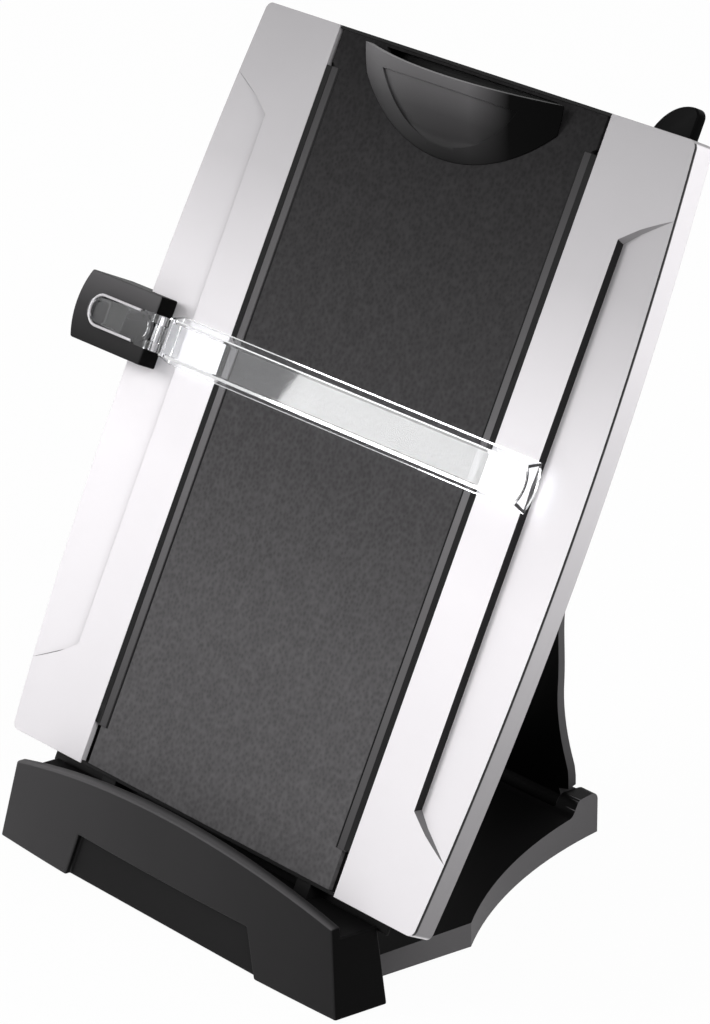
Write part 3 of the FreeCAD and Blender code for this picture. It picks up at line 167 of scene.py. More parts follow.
def makeFloor(values):
    half = values["floorSize"] / 2
    mesh = bpy.data.meshes.new("deskTop")
    corners = [(-half, -half, 0), (half, -half, 0), (half, half, 0), (-half, half, 0)]
    mesh.from_pydata(corners, [], [(0, 1, 2, 3)])
    floor = bpy.data.objects.new("deskTop", mesh)
    bpy.context.scene.collection.objects.link(floor)
    material, tree, shader = newMaterial("deskPaint")
    link = tree.links.new
    shader.inputs["Base Color"].default_value = values["floorColour"]
    shader.inputs["Roughness"].default_value = values["floorRough"]
    glow = tree.nodes.new("ShaderNodeEmission")
    share = addNode(tree, "ShaderNodeMath", operation="MULTIPLY")
    share.inputs[1].default_value = values["floorWhite"]
    mix = tree.nodes.new("ShaderNodeMixShader")
    link(seenDirectly(tree), share.inputs[0])
    link(share.outputs["Value"], mix.inputs["Fac"])
    link(shader.outputs["BSDF"], mix.inputs[1])
    link(glow.outputs["Emission"], mix.inputs[2])
    link(mix.outputs["Shader"], tree.nodes["Material Output"].inputs["Surface"])
    mesh.materials.append(material)


def makeStudio(values):
    makeFloor(values)
    for light in values["lights"]:
        data = bpy.data.lights.new(light["name"], "AREA")
        data.shape = "RECTANGLE"
        data.size, data.size_y = light["size"]
        data.energy = light["power"]
        lamp = bpy.data.objects.new(light["name"], data)
        spot = Vector(light["spot"])
        turn = (Vector(light["aim"]) - spot).to_track_quat("-Z", "Y").to_matrix().to_4x4()
        lamp.matrix_world = Matrix.Translation(spot) @ turn
        bpy.context.scene.collection.objects.link(lamp)
    world = bpy.data.worlds.new("paleRoom")
    world.use_nodes = True
    tree = world.node_tree
    background = tree.nodes["Background"]
    background.inputs["Color"].default_value = (1, 1, 1, 1)
    level = tree.nodes.new("ShaderNodeMapRange")
    level.inputs["To Min"].default_value = values["worldLight"]
    level.inputs["To Max"].default_value = 1.0
    tree.links.new(seenDirectly(tree), level.inputs["Value"])
    tree.links.new(level.outputs["Result"], background.inputs["Strength"])
    bpy.context.scene.world = world
    bpy.context.scene.view_settings.view_transform = "Standard"


makeStudio(studio)
print("stage: camera and studio")


# Materials
def makeGroup(name, inputs, outputs):
    group = bpy.data.node_groups.new(name, "ShaderNodeTree")
    for socket, kind, value in inputs:
        item = group.interface.new_socket(name=socket, in_out="INPUT", socket_type=kind)
        item.default_value = value
    for socket, kind in outputs:
        group.interface.new_socket(name=socket, in_out="OUTPUT", socket_type=kind)
    return group, group.nodes.new("NodeGroupInput"), group.nodes.new("NodeGroupOutput")


# Fine grain, slow change of shade and soft edges that all moulded plastics share
mouldedValues = {
    "grainDetail": 3.0,
    "grainRoughness": 0.6,
    "grainDepth": 0.0001,
    "cloudScale": 14.0,
    "cloudDetail": 2.0,
    "cloudSpan": (0.3, 0.7),
    "edgeSamples": 4,
}


def makeMouldedGroup(values):
    group, given, result = makeGroup("mouldedSurface", [
        ("Scale", "NodeSocketFloat", 900.0), ("Strength", "NodeSocketFloat", 0.1),
        ("Radius", "NodeSocketFloat", 0.0006), ("Variation", "NodeSocketFloat", 0.06)],
        [("Normal", "NodeSocketVector"), ("Shade", "NodeSocketFloat")])
    place = group.nodes.new("ShaderNodeTexCoord")
    grain = addNode(group, "ShaderNodeTexNoise", Detail=values["grainDetail"],
                    Roughness=values["grainRoughness"])
    cloud = addNode(group, "ShaderNodeTexNoise", Scale=values["cloudScale"],
                    Detail=values["cloudDetail"])
    bevel = addNode(group, "ShaderNodeBevel", samples=values["edgeSamples"])
    bump = addNode(group, "ShaderNodeBump", Distance=values["grainDepth"])
    shade = addNode(group, "ShaderNodeMapRange")
    shade.inputs["From Min"].default_value = values["cloudSpan"][0]
    shade.inputs["From Max"].default_value = values["cloudSpan"][1]
    low = addNode(group, "ShaderNodeMath", operation="SUBTRACT")
    low.inputs[0].default_value = 1.0
    high = addNode(group, "ShaderNodeMath", operation="ADD")
    high.inputs[0].default_value = 1.0
    link = group.links.new
    link(place.outputs["Object"], grain.inputs["Vector"])
    link(place.outputs["Object"], cloud.inputs["Vector"])
    link(given.outputs["Scale"], grain.inputs["Scale"])
    link(given.outputs["Radius"], bevel.inputs["Radius"])
    link(given.outputs["Strength"], bump.inputs["Strength"])
    link(grain.outputs["Fac"], bump.inputs["Height"])
    link(bevel.outputs["Normal"], bump.inputs["Normal"])
    link(given.outputs["Variation"], low.inputs[1])
    link(given.outputs["Variation"], high.inputs[1])
    link(cloud.outputs["Fac"], shade.inputs["Value"])
    link(low.outputs["Value"], shade.inputs["To Min"])
    link(high.outputs["Value"], shade.inputs["To Max"])
    link(bump.outputs["Normal"], result.inputs["Normal"])
    link(shade.outputs["Result"], result.inputs["Shade"])
    return group


mouldedGroup = makeMouldedGroup(mouldedValues)


def colourRamp(tree, stops):
    ramp = tree.nodes.new("ShaderNodeValToRGB")
    elements = ramp.color_ramp.elements
    while len(elements) < len(stops):
        elements.new(0.5)
    for element, (spot, colour) in zip(elements, stops):
        element.position = spot
        element.color = colour
    return ramp


def makeBoardGroup():
    # Place and normal in the leaning frame of the board: across, depth, height
    outputs = [("Place", "NodeSocketVector"), ("Normal", "NodeSocketVector")]
    group, _, result = makeGroup("boardFrame", [], outputs)
    source = group.nodes.new("ShaderNodeTexCoord")
    place = addNode(group, "ShaderNodeMapping", vector_type="TEXTURE")
    place.inputs["Location"].default_value = onBoard(0, 0, 0)
    place.inputs["Rotation"].default_value = (-board["lean"], 0, 0)
    normal = addNode(group, "ShaderNodeMapping", vector_type="TEXTURE")
    normal.inputs["Rotation"].default_value = (-board["lean"], 0, 0)
    group.links.new(source.outputs["Object"], place.inputs["Vector"])
    group.links.new(source.outputs["Normal"], normal.inputs["Vector"])
    group.links.new(place.outputs["Vector"], result.inputs["Place"])
    group.links.new(normal.outputs["Vector"], result.inputs["Normal"])
    return group


boardGroup = makeBoardGroup()


def useGroup(tree, group, **settings):
    node = tree.nodes.new("ShaderNodeGroup")
    node.node_tree = group
    for key, value in settings.items():
        node.inputs[key].default_value = value
    return node


def rangeOf(tree, socket, low, high, start=0.0, end=1.0):
    node = tree.nodes.new("ShaderNodeMapRange")
    node.inputs["From Min"].default_value = low
    node.inputs["From Max"].default_value = high
    node.inputs["To Min"].default_value = start
    node.inputs["To Max"].default_value = end
    tree.links.new(socket, node.inputs["Value"])
    return node.outputs["Result"]


def combine(tree, operation, first, second):
    node = addNode(tree, "ShaderNodeMath", operation=operation)
    for socket, value in zip(node.inputs, (first, second)):
        if isinstance(value, (int, float)):
            socket.default_value = value
        else:
            tree.links.new(value, socket)
    return node.outputs["Value"]


def mixColour(tree, share, first, second, blend="MIX"):
    node = addNode(tree, "ShaderNodeMix", data_type="RGBA", blend_type=blend)
    for key, value in (("Factor", share), ("A", first), ("B", second)):
        if isinstance(value, (int, float, tuple)):
            node.inputs[key].default_value = value
        else:
            tree.links.new(value, node.inputs[key])
    return node.outputs["Result"]


def finishPlastic(tree, shader, surface, colour, values):
    shaded = mixColour(tree, 1.0, colour, surface.outputs["Shade"], "MULTIPLY")
    tree.links.new(shaded, shader.inputs["Base Color"])
    tree.links.new(surface.outputs["Normal"], shader.inputs["Normal"])
    shader.inputs["Roughness"].default_value = values["rough"]
    shader.inputs["Metallic"].default_value = values["metal"]
    shader.inputs["Specular IOR Level"].default_value = values["shine"]


def surfaceSpots(tree, onTheBoard):
    # Sockets for the place on a piece and for the way its surface faces
    if onTheBoard:
        source = useGroup(tree, boardGroup)
        place, normal = source.outputs["Place"], source.outputs["Normal"]
    else:
        source = tree.nodes.new("ShaderNodeTexCoord")
        place, normal = source.outputs["Object"], source.outputs["Normal"]
    spots = {}
    for prefix, socket in (("at", place), ("faces", normal)):
        split = tree.nodes.new("ShaderNodeSeparateXYZ")
        tree.links.new(socket, split.inputs["Vector"])
        for axis in "XYZ":
            spots[prefix + axis] = split.outputs[axis]
    for key in ("atX", "facesX", "facesZ"):
        spots[key + "Size"] = combine(tree, "ABSOLUTE", spots[key], 0.0)
    return spots


greenShare = 0.97  # the greys lean a little towards violet


def plain(level):
    return (level, level * greenShare, level, 1)


def tones(along, start, end, *levels):
    # Greys spread evenly along one of the spots
    last = max(len(levels) - 1, 1)
    stops = [(at / last, plain(grey)) for at, grey in enumerate(levels)]
    return {"along": along, "span": (start, end), "stops": stops}


def toneColour(tree, spots, tone):
    ramp = colourRamp(tree, tone["stops"])
    tree.links.new(rangeOf(tree, spots[tone["along"]], *tone["span"]), ramp.inputs["Fac"])
    return ramp.outputs["Color"]


def makePlastic(name, values):
    # The first tone covers the piece, and each zone is laid over the part that its limits pick out
    material, tree, shader = newMaterial(name)
    surface = useGroup(tree, mouldedGroup, Scale=values["grainScale"], Strength=values["grain"],
                       Radius=values["edge"], Variation=values["variation"])
    spots = surfaceSpots(tree, values.get("onTheBoard", False))
    colour = toneColour(tree, spots, values["tone"])
    for tone, limits in values.get("zones", []):
        share = 1.0
        for spot, start, end in limits:
            share = combine(tree, "MULTIPLY", share, rangeOf(tree, spots[spot], start, end))
        colour = mixColour(tree, share, colour, toneColour(tree, spots, tone))
    finishPlastic(tree, shader, surface, colour, values)
    return material


def plasticLook(tone, rough, shine, grain=0.2, grainScale=1400.0, **others):
    look = {"tone": tone, "rough": rough, "shine": shine, "grain": grain, "grainScale": grainScale,
            "metal": 0.0, "edge": 0.0003, "variation": 0.06}
    look.update(others)
    return look


# A tone is a spot, its start and end, and greys between them. A zone is a tone with its limits,
# each a spot that fades in from the first value to the second.
plastics = {
    # Painted light on the tray: it is painted darker from left to right, its front recess, the
    # upward faces low inside it and its right-facing faces are painted near black as painted shade,
    # and the top of its front lip is painted lighter as a painted highlight
    "trayPlasticPaintedLight": plasticLook(tones("atX", -0.10, 0.10, 0.048, 0.030, 0.018), 0.45, 0.04, zones=[
        (tones("atZ", 0.0, 0.03, 0.011, 0.012), [
            ("atY", -0.0924, -0.0923), ("atXSize", 0.0617, 0.0615), ("atZ", 0.0195, 0.0191)]),
        (tones("atX", -0.1, 0.1, 0.004, 0.004), [("facesZ", 0.5, 0.8), ("atZ", 0.033, 0.032)]),
        (tones("atX", -0.1, 0.1, 0.09, 0.07), [("facesZ", 0.3, 0.6), ("atY", -0.0865, -0.0885)]),
        (tones("atZ", 0.0, 0.03, 0.002, 0.002), [("facesX", 0.6, 0.9)]),
    ]),
    # Painted light on the base plate: its right-facing side walls are painted lighter, its front
    # faces a little lighter, and its top darkens slightly towards the back
    "platePlasticPaintedLight": plasticLook(tones("atY", -0.09, 0.1, 0.008, 0.005), 0.5, 0.03, zones=[
        (tones("atY", -0.06, 0.1, 0.1, 0.13, 0.11), [("facesX", 0.2, 0.5), ("facesY", -0.65, -0.5)]),
        (tones("atZ", 0.0, 0.03, 0.012, 0.012), [("facesY", -0.6, -0.9)]),
    ]),
    # Painted light on the leg: it is painted near black as painted shade, its back faces a little
    # lighter, and its right-facing edge is painted from dark grey low down to pale grey at the top
    "legPlasticPaintedLight": plasticLook(tones("atZ", 0.0, 0.2, 0.003, 0.002), 0.5, 0.03, zones=[
        (tones("atZ", 0.02, 0.17, 0.04, 0.16, 0.5), [("facesX", 0.4, 0.7)]),
        (tones("atZ", 0.0, 0.2, 0.018, 0.02), [("facesY", 0.1, 0.4)]),
    ]),
    "framePlastic": plasticLook(tones("atZ", 0.03, 0.31, 0.008, 0.004), 0.45, 0.06, grain=0.15),
    # Painted light on the clip lever and memo sheet: the clip is painted lighter towards its top,
    # and its right part and its back-facing inner faces are painted near black as painted shade
    "glossBlackPaintedLight": plasticLook(
        tones("atZ", 0.2644, 0.295, 0.006, 0.045, 0.13), 0.3, 0.04,
        onTheBoard=True, grain=0.02, grainScale=700.0, zones=[
            (tones("atZ", 0.2, 0.3, 0.0006, 0.0006), [("atX", 0.016, 0.036)]),
            (tones("atZ", 0.2, 0.3, 0.0006, 0.0006), [("facesY", 0.0, 0.3)]),
        ]),
    "tabPlastic": plasticLook(tones("atZ", 0.0, 0.31, 0.002, 0.002), 0.4, 0.02,
                              grain=0.02, grainScale=700.0),
    # Painted light on the slider: its front is painted lighter towards the top, and its faces other
    # than the front are painted near black as painted shade
    "sliderPlasticPaintedLight": plasticLook(
        tones("atZ", 0.1505, 0.1785, 0.012, 0.035, 0.09), 0.45, 0.04, onTheBoard=True, zones=[
            (tones("atZ", 0.1, 0.2, 0.003, 0.003), [("facesY", -0.75, -0.35)]),
        ]),
    # Painted light on the silver side panels: the face is painted lighter low down and darker
    # towards the top
    "silverPlasticPaintedLight": plasticLook(
        tones("atZ", 0.0, 0.3, 0.74, 0.80, 0.84, 0.74, 0.46, 0.35), 0.42, 0.15,
        onTheBoard=True, grain=0.25, grainScale=2600.0, metal=0.05, variation=0.02, zones=[
            # Painted light: the outer side walls are painted from near white at the top to dark grey
            # at the bottom
            (tones("atZ", 0.0, 0.3, 0.24, 0.38, 0.62, 0.9, 1.0), [
                ("atXSize", 0.1240, 0.1244), ("facesXSize", 0.5, 0.8)]),
            # Painted shade: the front edge of the right side wall is painted near black
            (tones("atZ", 0.0, 0.3, 0.02, 0.03), [
                ("atXSize", 0.1240, 0.1244), ("facesX", 0.3, 0.5), ("atY", 0.0014, 0.0010)]),
            # The long walls of the sunk border are near black
            (tones("atZ", 0.0, 0.3, 0.012, 0.016), [
                ("atXSize", 0.1075, 0.1065), ("atXSize", 0.1025, 0.1030), ("facesXSize", 0.4, 0.6)]),
            # Painted shade: the mitred end walls of the sunk border are painted grey, darker at the
            # bottom
            (tones("atZ", 0.0, 0.3, 0.14, 0.3), [
                ("atZ", 0.02, 0.022), ("atZ", 0.28, 0.278), ("facesZSize", 0.3, 0.5)]),
        ]),
    "coverPlastic": plasticLook(tones("atZ", 0.03, 0.31, 0.024, 0.02), 0.5, 0.15, grain=0.25),
    # Painted light: the rails are painted lighter at mid height and darker towards both ends
    "railPlasticPaintedLight": plasticLook(tones("atZ", 0.03, 0.31, 0.05, 0.11, 0.15, 0.09, 0.03), 0.5, 0.03),
    "rimPlastic": plasticLook(tones("atZ", 0.1, 0.3, 0.55, 0.55), 0.25, 0.5, grain=0.0),
    "footRubber": plasticLook(tones("atZ", 0.0, 0.1, 0.012, 0.012), 0.8, 0.1,
                              grain=0.4, variation=0.1),
    "sliderFelt": plasticLook(tones("atZ", 0.0, 0.1, 0.03, 0.03), 1.0, 0.1,
                              grain=1.0, grainScale=2200.0, variation=0.2),
    "brightSteel": plasticLook(tones("atZ", 0.0, 0.1, 0.55, 0.55), 0.28, 0.5,
                               grain=0.1, grainScale=3000.0, metal=1.0),
}
materials = {name: makePlastic(name, values) for name, values in plastics.items()}

panelGrainAndShade = {
    # Painted light: the panel's grey is painted lighter at the bottom and darker towards the top of
    # the board
    "tones": [(0.0, 0.095), (0.25, 0.09), (0.5, 0.06), (0.8, 0.034), (1.0, 0.018)],
    "cellScale": 620.0,
    "fineScale": 1900.0,
    "fineDetail": 4.0,
    "patchScale": 120.0,
    "patchDetail": 3.0,
    "patchSpan": (0.3, 0.7, 0.94, 1.06),
    "cellSpan": (0.0, 0.7, 0.8, 1.2),
    "depth": 0.00012,
    "bump": 0.7,
    "rough": 0.7,
    "shine": 0.0,
}


def makeGrained(name, values):
    material, tree, shader = newMaterial(name)
    link = tree.links.new
    frameSpace = useGroup(tree, boardGroup)
    split = tree.nodes.new("ShaderNodeSeparateXYZ")
    link(frameSpace.outputs["Place"], split.inputs["Vector"])
    # Painted light: grey ramp along the board's height
    ramp = colourRamp(tree, [(spot, plain(grey)) for spot, grey in values["tones"]])
    link(rangeOf(tree, split.outputs["Z"], 0.0, board["height"]), ramp.inputs["Fac"])
    cells = addNode(tree, "ShaderNodeTexVoronoi", feature="SMOOTH_F1", Scale=values["cellScale"])
    fine = addNode(tree, "ShaderNodeTexNoise", Scale=values["fineScale"],
                   Detail=values["fineDetail"])
    patch = addNode(tree, "ShaderNodeTexNoise", Scale=values["patchScale"],
                    Detail=values["patchDetail"])
    for texture in (cells, fine, patch):
        link(frameSpace.outputs["Place"], texture.inputs["Vector"])
    bump = addNode(tree, "ShaderNodeBump", Strength=values["bump"], Distance=values["depth"])
    link(combine(tree, "ADD", cells.outputs["Distance"], fine.outputs["Fac"]), bump.inputs["Height"])
    mottle = rangeOf(tree, patch.outputs["Fac"], *values["patchSpan"])
    speck = rangeOf(tree, cells.outputs["Distance"], *values["cellSpan"])
    colour = mixColour(tree, 1.0, ramp.outputs["Color"], mottle, "MULTIPLY")
    colour = mixColour(tree, 1.0, colour, speck, "MULTIPLY")
    link(colour, shader.inputs["Base Color"])
    link(bump.outputs["Normal"], shader.inputs["Normal"])
    shader.inputs["Roughness"].default_value = values["rough"]
    shader.inputs["Specular IOR Level"].default_value = values["shine"]
    return material


materials["grainedPanelPaintedLight"] = makeGrained("grainedPanelPaintedLight", panelGrainAndShade)

clearValues = {
    "tint": (0.97, 0.98, 0.985, 1),
    "shadow": (0.93, 0.94, 0.95, 1),
    "rough": 0.02,
    "ior": 1.49,
    "haze": 0.008,
    "hazeColour": (0.9, 0.9, 0.92, 1),
}


def makeClear(name, values):
    material, tree, shader = newMaterial(name)
    link = tree.links.new
    shader.inputs["Base Color"].default_value = values["tint"]
    shader.inputs["Transmission Weight"].default_value = 1.0
    shader.inputs["Roughness"].default_value = values["rough"]
    shader.inputs["IOR"].default_value = values["ior"]
    clear = addNode(tree, "ShaderNodeBsdfTransparent", Color=values["shadow"])
    haze = addNode(tree, "ShaderNodeBsdfDiffuse", Color=values["hazeColour"])
    hazed = addNode(tree, "ShaderNodeMixShader", Fac=values["haze"])
    path = tree.nodes.new("ShaderNodeLightPath")
    seen = tree.nodes.new("ShaderNodeMixShader")
    link(shader.outputs["BSDF"], hazed.inputs[1])
    link(haze.outputs["BSDF"], hazed.inputs[2])
    link(path.outputs["Is Shadow Ray"], seen.inputs["Fac"])
    link(hazed.outputs["Shader"], seen.inputs[1])
    link(clear.outputs["BSDF"], seen.inputs[2])
    link(seen.outputs["Shader"], tree.nodes["Material Output"].inputs["Surface"])
    return material


materials["clearAcrylic"] = makeClear("clearAcrylic", clearValues)

nodeLooks = {
    "base_tray": "trayPlasticPaintedLight",
    "base_plate": "platePlasticPaintedLight",
    "base_feet": "footRubber",
    "base_screws": "brightSteel",
    "leg_pin": "brightSteel",
    "easel_pins": "brightSteel",
    "easel_frame": "framePlastic",
    "rear_cover": "coverPlastic",
    "side_panel_left": "silverPlasticPaintedLight",
    "side_panel_right": "silverPlasticPaintedLight",
    "center_panel": "grainedPanelPaintedLight",
    "leg_track_left": "coverPlastic",
    "leg_track_right": "coverPlastic",
    "cover_screws": "brightSteel",
    "clip_bracket": "framePlastic",
    "clip_pin": "brightSteel",
    "support_leg": "legPlasticPaintedLight",
    "leg_bar": "brightSteel",
    "clip_lever": "glossBlackPaintedLight",
    "clip_pad": "footRubber",
    "clip_spring": "brightSteel",
    "slider_front": "sliderPlasticPaintedLight",
    "slider_back": "sliderPlasticPaintedLight",
    "slider_brake": "sliderFelt",
    "slider_screws": "brightSteel",
    "guide_tongue": "clearAcrylic",
    "guide_pin": "brightSteel",
    "line_guide": "clearAcrylic",
    "memo_sheet": "glossBlackPaintedLight",
    "memo_tab": "tabPlastic",
}
for name, look in nodeLooks.items():
    for slot in nodes[name].material_slots:
        slot.material = materials[look]
print("stage: materials on the packed nodes")

# Pieces: shared makers
bodies = frame["record"]["behaviour"]["bodies"]
bodyOf = {node: body for body, members in bodies.items() for node in members}
shading = {
    "weld": 2e-6,
    "flat": math.radians(0.4),
    "sharp": math.radians(32),
    "smooth": math.radians(34),
    "crisp": math.radians(7),
}
rounding = {"segments": 3, "profile": 0.5}
sortDigits = 4


def addPiece(name, mesh, look, body, replaced=None):
    piece = bpy.data.objects.new(name, mesh)
    bpy.context.scene.collection.objects.link(piece)
    mesh.materials.clear()
    mesh.materials.append(materials[look])
    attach(piece, body)
    if replaced:
        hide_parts(replaced)
    return piece


def replaceNode(node, ending, mesh):
    return addPiece(node + ending, mesh, nodeLooks[node], bodyOf[node], node)


def applyModifiers(piece):
    bpy.context.view_layer.update()
    graph = bpy.context.evaluated_depsgraph_get()
    finished = bpy.data.meshes.new_from_object(piece.evaluated_get(graph))
    piece.modifiers.clear()
    piece.data = finished
    return finished


def smoothShade(mesh, angle=shading["smooth"]):
    mesh.shade_smooth()
    mesh.set_sharp_from_angle(angle=angle)


def meshFrom(work, name):
    mesh = bpy.data.meshes.new(name)
    work.normal_update()
    work.to_mesh(mesh)
    work.free()
    return mesh


def weldedCopy(node):
    work = bmesh.new()
    work.from_mesh(nodes[node].data)
    bmesh.ops.remove_doubles(work, verts=work.verts, dist=shading["weld"])
    return work


def middleOf(corners):
    return sum(corners, Vector()) / len(corners)


def islands(node):
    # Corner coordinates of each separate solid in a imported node
    work = weldedCopy(node)
    left = set(work.verts)
    groups = []
    while left:
        reached = [left.pop()]
        group = []
        while reached:
            corner = reached.pop()
            group.append(corner.co.copy())
            for edge in corner.link_edges:
                other = edge.other_vert(corner)
                if other in left:
                    left.discard(other)
                    reached.append(other)
        groups.append(group)
    work.free()
    groups.sort(key=lambda group: tuple(round(value, sortDigits) for value in middleOf(group)))
    return groups


def boardBox(node):
    # The node's box in the board's own frame
    back = boardMatrix.inverted()
    corners = [back @ corner.co for corner in nodes[node].data.vertices]
    low = Vector([min(corner[axis] for corner in corners) for axis in range(3)])
    high = Vector([max(corner[axis] for corner in corners) for axis in range(3)])
    return low, high


# The outer edges of the board swell by this much at half height, over a strip along each side
swell = {"most": 0.0084, "start": 0.1135, "slices": 24}


def swellEdge(work):
    for number in range(1, swell["slices"]):
        spot = onBoard(0, 0, board["height"] * number / swell["slices"])
        bmesh.ops.bisect_plane(work, geom=work.verts[:] + work.edges[:] + work.faces[:],
                               plane_co=spot, plane_no=boardUp)
    half = board["height"] / 2
    strip = board["edge"] - swell["start"]
    for corner in work.verts:
        height = (corner.co - onBoard(0, 0, 0)).dot(boardUp)
        share = min(max((abs(corner.co.x) - swell["start"]) / strip, 0), 1)
        outward = swell["most"] * share * max(1 - ((height - half) / half) ** 2, 0)
        corner.co.x += math.copysign(outward, corner.co.x)


# The slider leaves room in its channel for the swelling edge
channel = {"wall": 0.1253, "pocket": 0.1267, "front": -0.0005, "room": 0.0086, "margin": 0.0002}


def widenChannel(work):
    back = boardMatrix.inverted()
    near = channel["wall"] - channel["margin"]
    far = channel["pocket"] + channel["margin"]
    for corner in work.verts:
        place = back @ corner.co
        if near < abs(place.x) < far and place.y > channel["front"]:
            corner.co.x -= channel["room"]


# Sides of the leg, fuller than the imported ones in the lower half
legShape = {"low": (0.014, 0.036), "high": (0.08, 0.14), "share": 0.185}


def easeBetween(value, start, end):
    share = min(max((value - start) / (end - start), 0), 1)
    return share * share * (3 - 2 * share)


def fillLeg(work):
    for corner in work.verts:
        rise = easeBetween(corner.co.z, *legShape["low"])
        fall = 1 - easeBetween(corner.co.z, *legShape["high"])
        corner.co.x *= 1 + legShape["share"] * rise * fall


# Moulded pieces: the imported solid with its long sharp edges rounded
silverSide = {"radius": 0.0004, "shortest": 0.0012, "shape": swellEdge, "smooth": shading["crisp"]}
mouldings = {
    "base_tray": {"radius": 0.0009, "shortest": 0.0016},
    "base_plate": {"radius": 0.0006, "shortest": 0.0014},
    "support_leg": {"radius": 0.0006, "shortest": 0.0014, "shape": fillLeg},
    "side_panel_left": silverSide,
    "side_panel_right": silverSide,
    "easel_frame": {"radius": 0.0003, "shortest": 0.0012, "shape": swellEdge},
    "rear_cover": {"radius": 0.0008, "shortest": 0.0016},
    "leg_track_left": {"radius": 0.0004, "shortest": 0.0011},
    "leg_track_right": {"radius": 0.0004, "shortest": 0.0011},
    "slider_front": {"radius": 0.0009, "shortest": 0.0012, "shape": widenChannel},
    "slider_back": {"radius": 0.0005, "shortest": 0.0012},
    "clip_lever": {"radius": 0.00035, "shortest": 0.0009},
    "line_guide": {"radius": 0.00035, "shortest": 0.0008, "smooth": shading["crisp"]},
    "guide_tongue": {"radius": 0.0003, "shortest": 0.0008, "smooth": shading["crisp"]},
}


def makeMoulding(node, values):
    work = weldedCopy(node)
    bmesh.ops.dissolve_limit(work, angle_limit=shading["flat"], verts=work.verts, edges=work.edges)
    if "shape" in values:
        values["shape"](work)
        work.normal_update()
    weight = work.edges.layers.float.new("bevel_weight_edge")
    for edge in work.edges:
        if len(edge.link_faces) == 2 and edge.calc_length() > values["shortest"]:
            if edge.calc_face_angle(0) > shading["sharp"]:
                edge[weight] = 1.0
    piece = replaceNode(node, "_moulding", meshFrom(work, node + "_moulding"))
    bevel = piece.modifiers.new("roundedEdges", "BEVEL")
    bevel.limit_method = "WEIGHT"
    bevel.width = values["radius"]
    bevel.segments = rounding["segments"]
    bevel.use_clamp_overlap = True
    smoothShade(applyModifiers(piece), values.get("smooth", shading["smooth"]))
    weighted = piece.modifiers.new("evenNormals", "WEIGHTED_NORMAL")
    weighted.keep_sharp = True
    applyModifiers(piece)


for node, values in mouldings.items():
    makeMoulding(node, values)
print("stage: moulded pieces")


def turnProfile(work, profile, start, way, steps):
    # A profile of (along, radius) pairs swept round an axis
    across = way.orthogonal().normalized()
    other = way.cross(across)
    rings = []
    for along, radius in profile:
        ring = []
        for step in range(steps):
            angle = 2 * math.pi * step / steps
            spoke = across * math.cos(angle) + other * math.sin(angle)
            ring.append(work.verts.new(start + way * along + spoke * radius))
        rings.append(ring)
    for low, high in zip(rings, rings[1:]):
        for step in range(steps):
            after = (step + 1) % steps
            work.faces.new((low[step], low[after], high[after], high[step]))
    work.faces.new(list(reversed(rings[0])))
    work.faces.new(rings[-1])


def spansAndRadii(group, middle, way):
    # How far each corner lies along an axis through the middle, and how far from it
    spans = [(corner - middle).dot(way) for corner in group]
    radii = [((corner - middle) - way * span).length for corner, span in zip(group, spans)]
    return spans, radii


# Steel pins with a softened chamfer at both ends
pinShape = {"steps": 40, "soften": 0.4}
pinChamfers = {
    "leg_pin": 0.0004,
    "easel_pins": 0.0004,
    "leg_bar": 0.0006,
    "clip_pin": 0.0003,
    "guide_pin": 0.0002,
}


def makePins(node, cut, values):
    way = boardUp if node == "guide_pin" else Vector((1, 0, 0))
    part = cut * values["soften"]
    work = bmesh.new()
    for group in islands(node):
        middle = middleOf(group)
        spans, radii = spansAndRadii(group, middle, way)
        low, high = min(spans), max(spans)
        radius = max(radii)
        profile = [(low, radius - cut), (low + part, radius - part), (low + cut, radius),
                   (high - cut, radius), (high - part, radius - part), (high, radius - cut)]
        turnProfile(work, profile, middle, way, values["steps"])
    mesh = meshFrom(work, node + "_turned")
    smoothShade(mesh)
    replaceNode(node, "_turned", mesh)


for node, cut in pinChamfers.items():
    makePins(node, cut, pinShape)

# Rubber feet with a rounded rim and a ring groove in the sole
footShape = {
    "rim": 0.0005,
    "rimPart": 0.3,
    "grooveAt": 0.55,
    "grooveHalf": 0.0006,
    "grooveFloor": 0.6,
    "grooveDeep": 0.0004,
    "steps": 48,
}


def makeFeet(values):
    work = bmesh.new()
    rim = values["rim"]
    part = rim * values["rimPart"]
    half = values["grooveHalf"]
    floor = half * values["grooveFloor"]
    for group in islands("base_feet"):
        low = min(corner.z for corner in group)
        high = max(corner.z for corner in group)
        middle = middleOf(group)
        middle.z = low
        radius = max((corner.xy - middle.xy).length for corner in group)
        groove = radius * values["grooveAt"]
        profile = [(0, groove - half), (values["grooveDeep"], groove - floor),
                   (values["grooveDeep"], groove + floor), (0, groove + half),
                   (0, radius - rim), (part, radius - part), (rim, radius), (high - low, radius)]
        turnProfile(work, profile, middle, Vector((0, 0, 1)), values["steps"])
    mesh = meshFrom(work, "base_feet_turned")
    smoothShade(mesh)
    replaceNode("base_feet", "_turned", mesh)


makeFeet(footShape)
print("stage: turned pieces")

# Screws with a crowned head and a cross recess. A crown ring is a share of the radius and a drop.
screwShape = {
    "crown": 0.0005,
    "headHigh": 0.0013,
    "slotLong": 0.0017,
    "slotWide": 0.00045,
    "slotDeep": 0.0009,
    "floorShare": 0.8,
    "brimDrop": 0.2,
    "crownRings": ((0.8, 0.35), (0.93, 0.65), (1.0, 1.0)),
    "shankLeast": 0.3,
}
# The way of a screw runs from its head down its shank
screwWays = {
    "base_screws": Vector((0, 0, 1)),
    "cover_screws": boardFront,
    "slider_screws": boardFront,
}


def crossOutline(long, wide):
    return [(long, -wide), (long, wide), (wide, wide), (wide, long),
            (-wide, long), (-wide, wide), (-long, wide), (-long, -wide),
            (-wide, -wide), (-wide, -long), (wide, -long), (wide, -wide)]


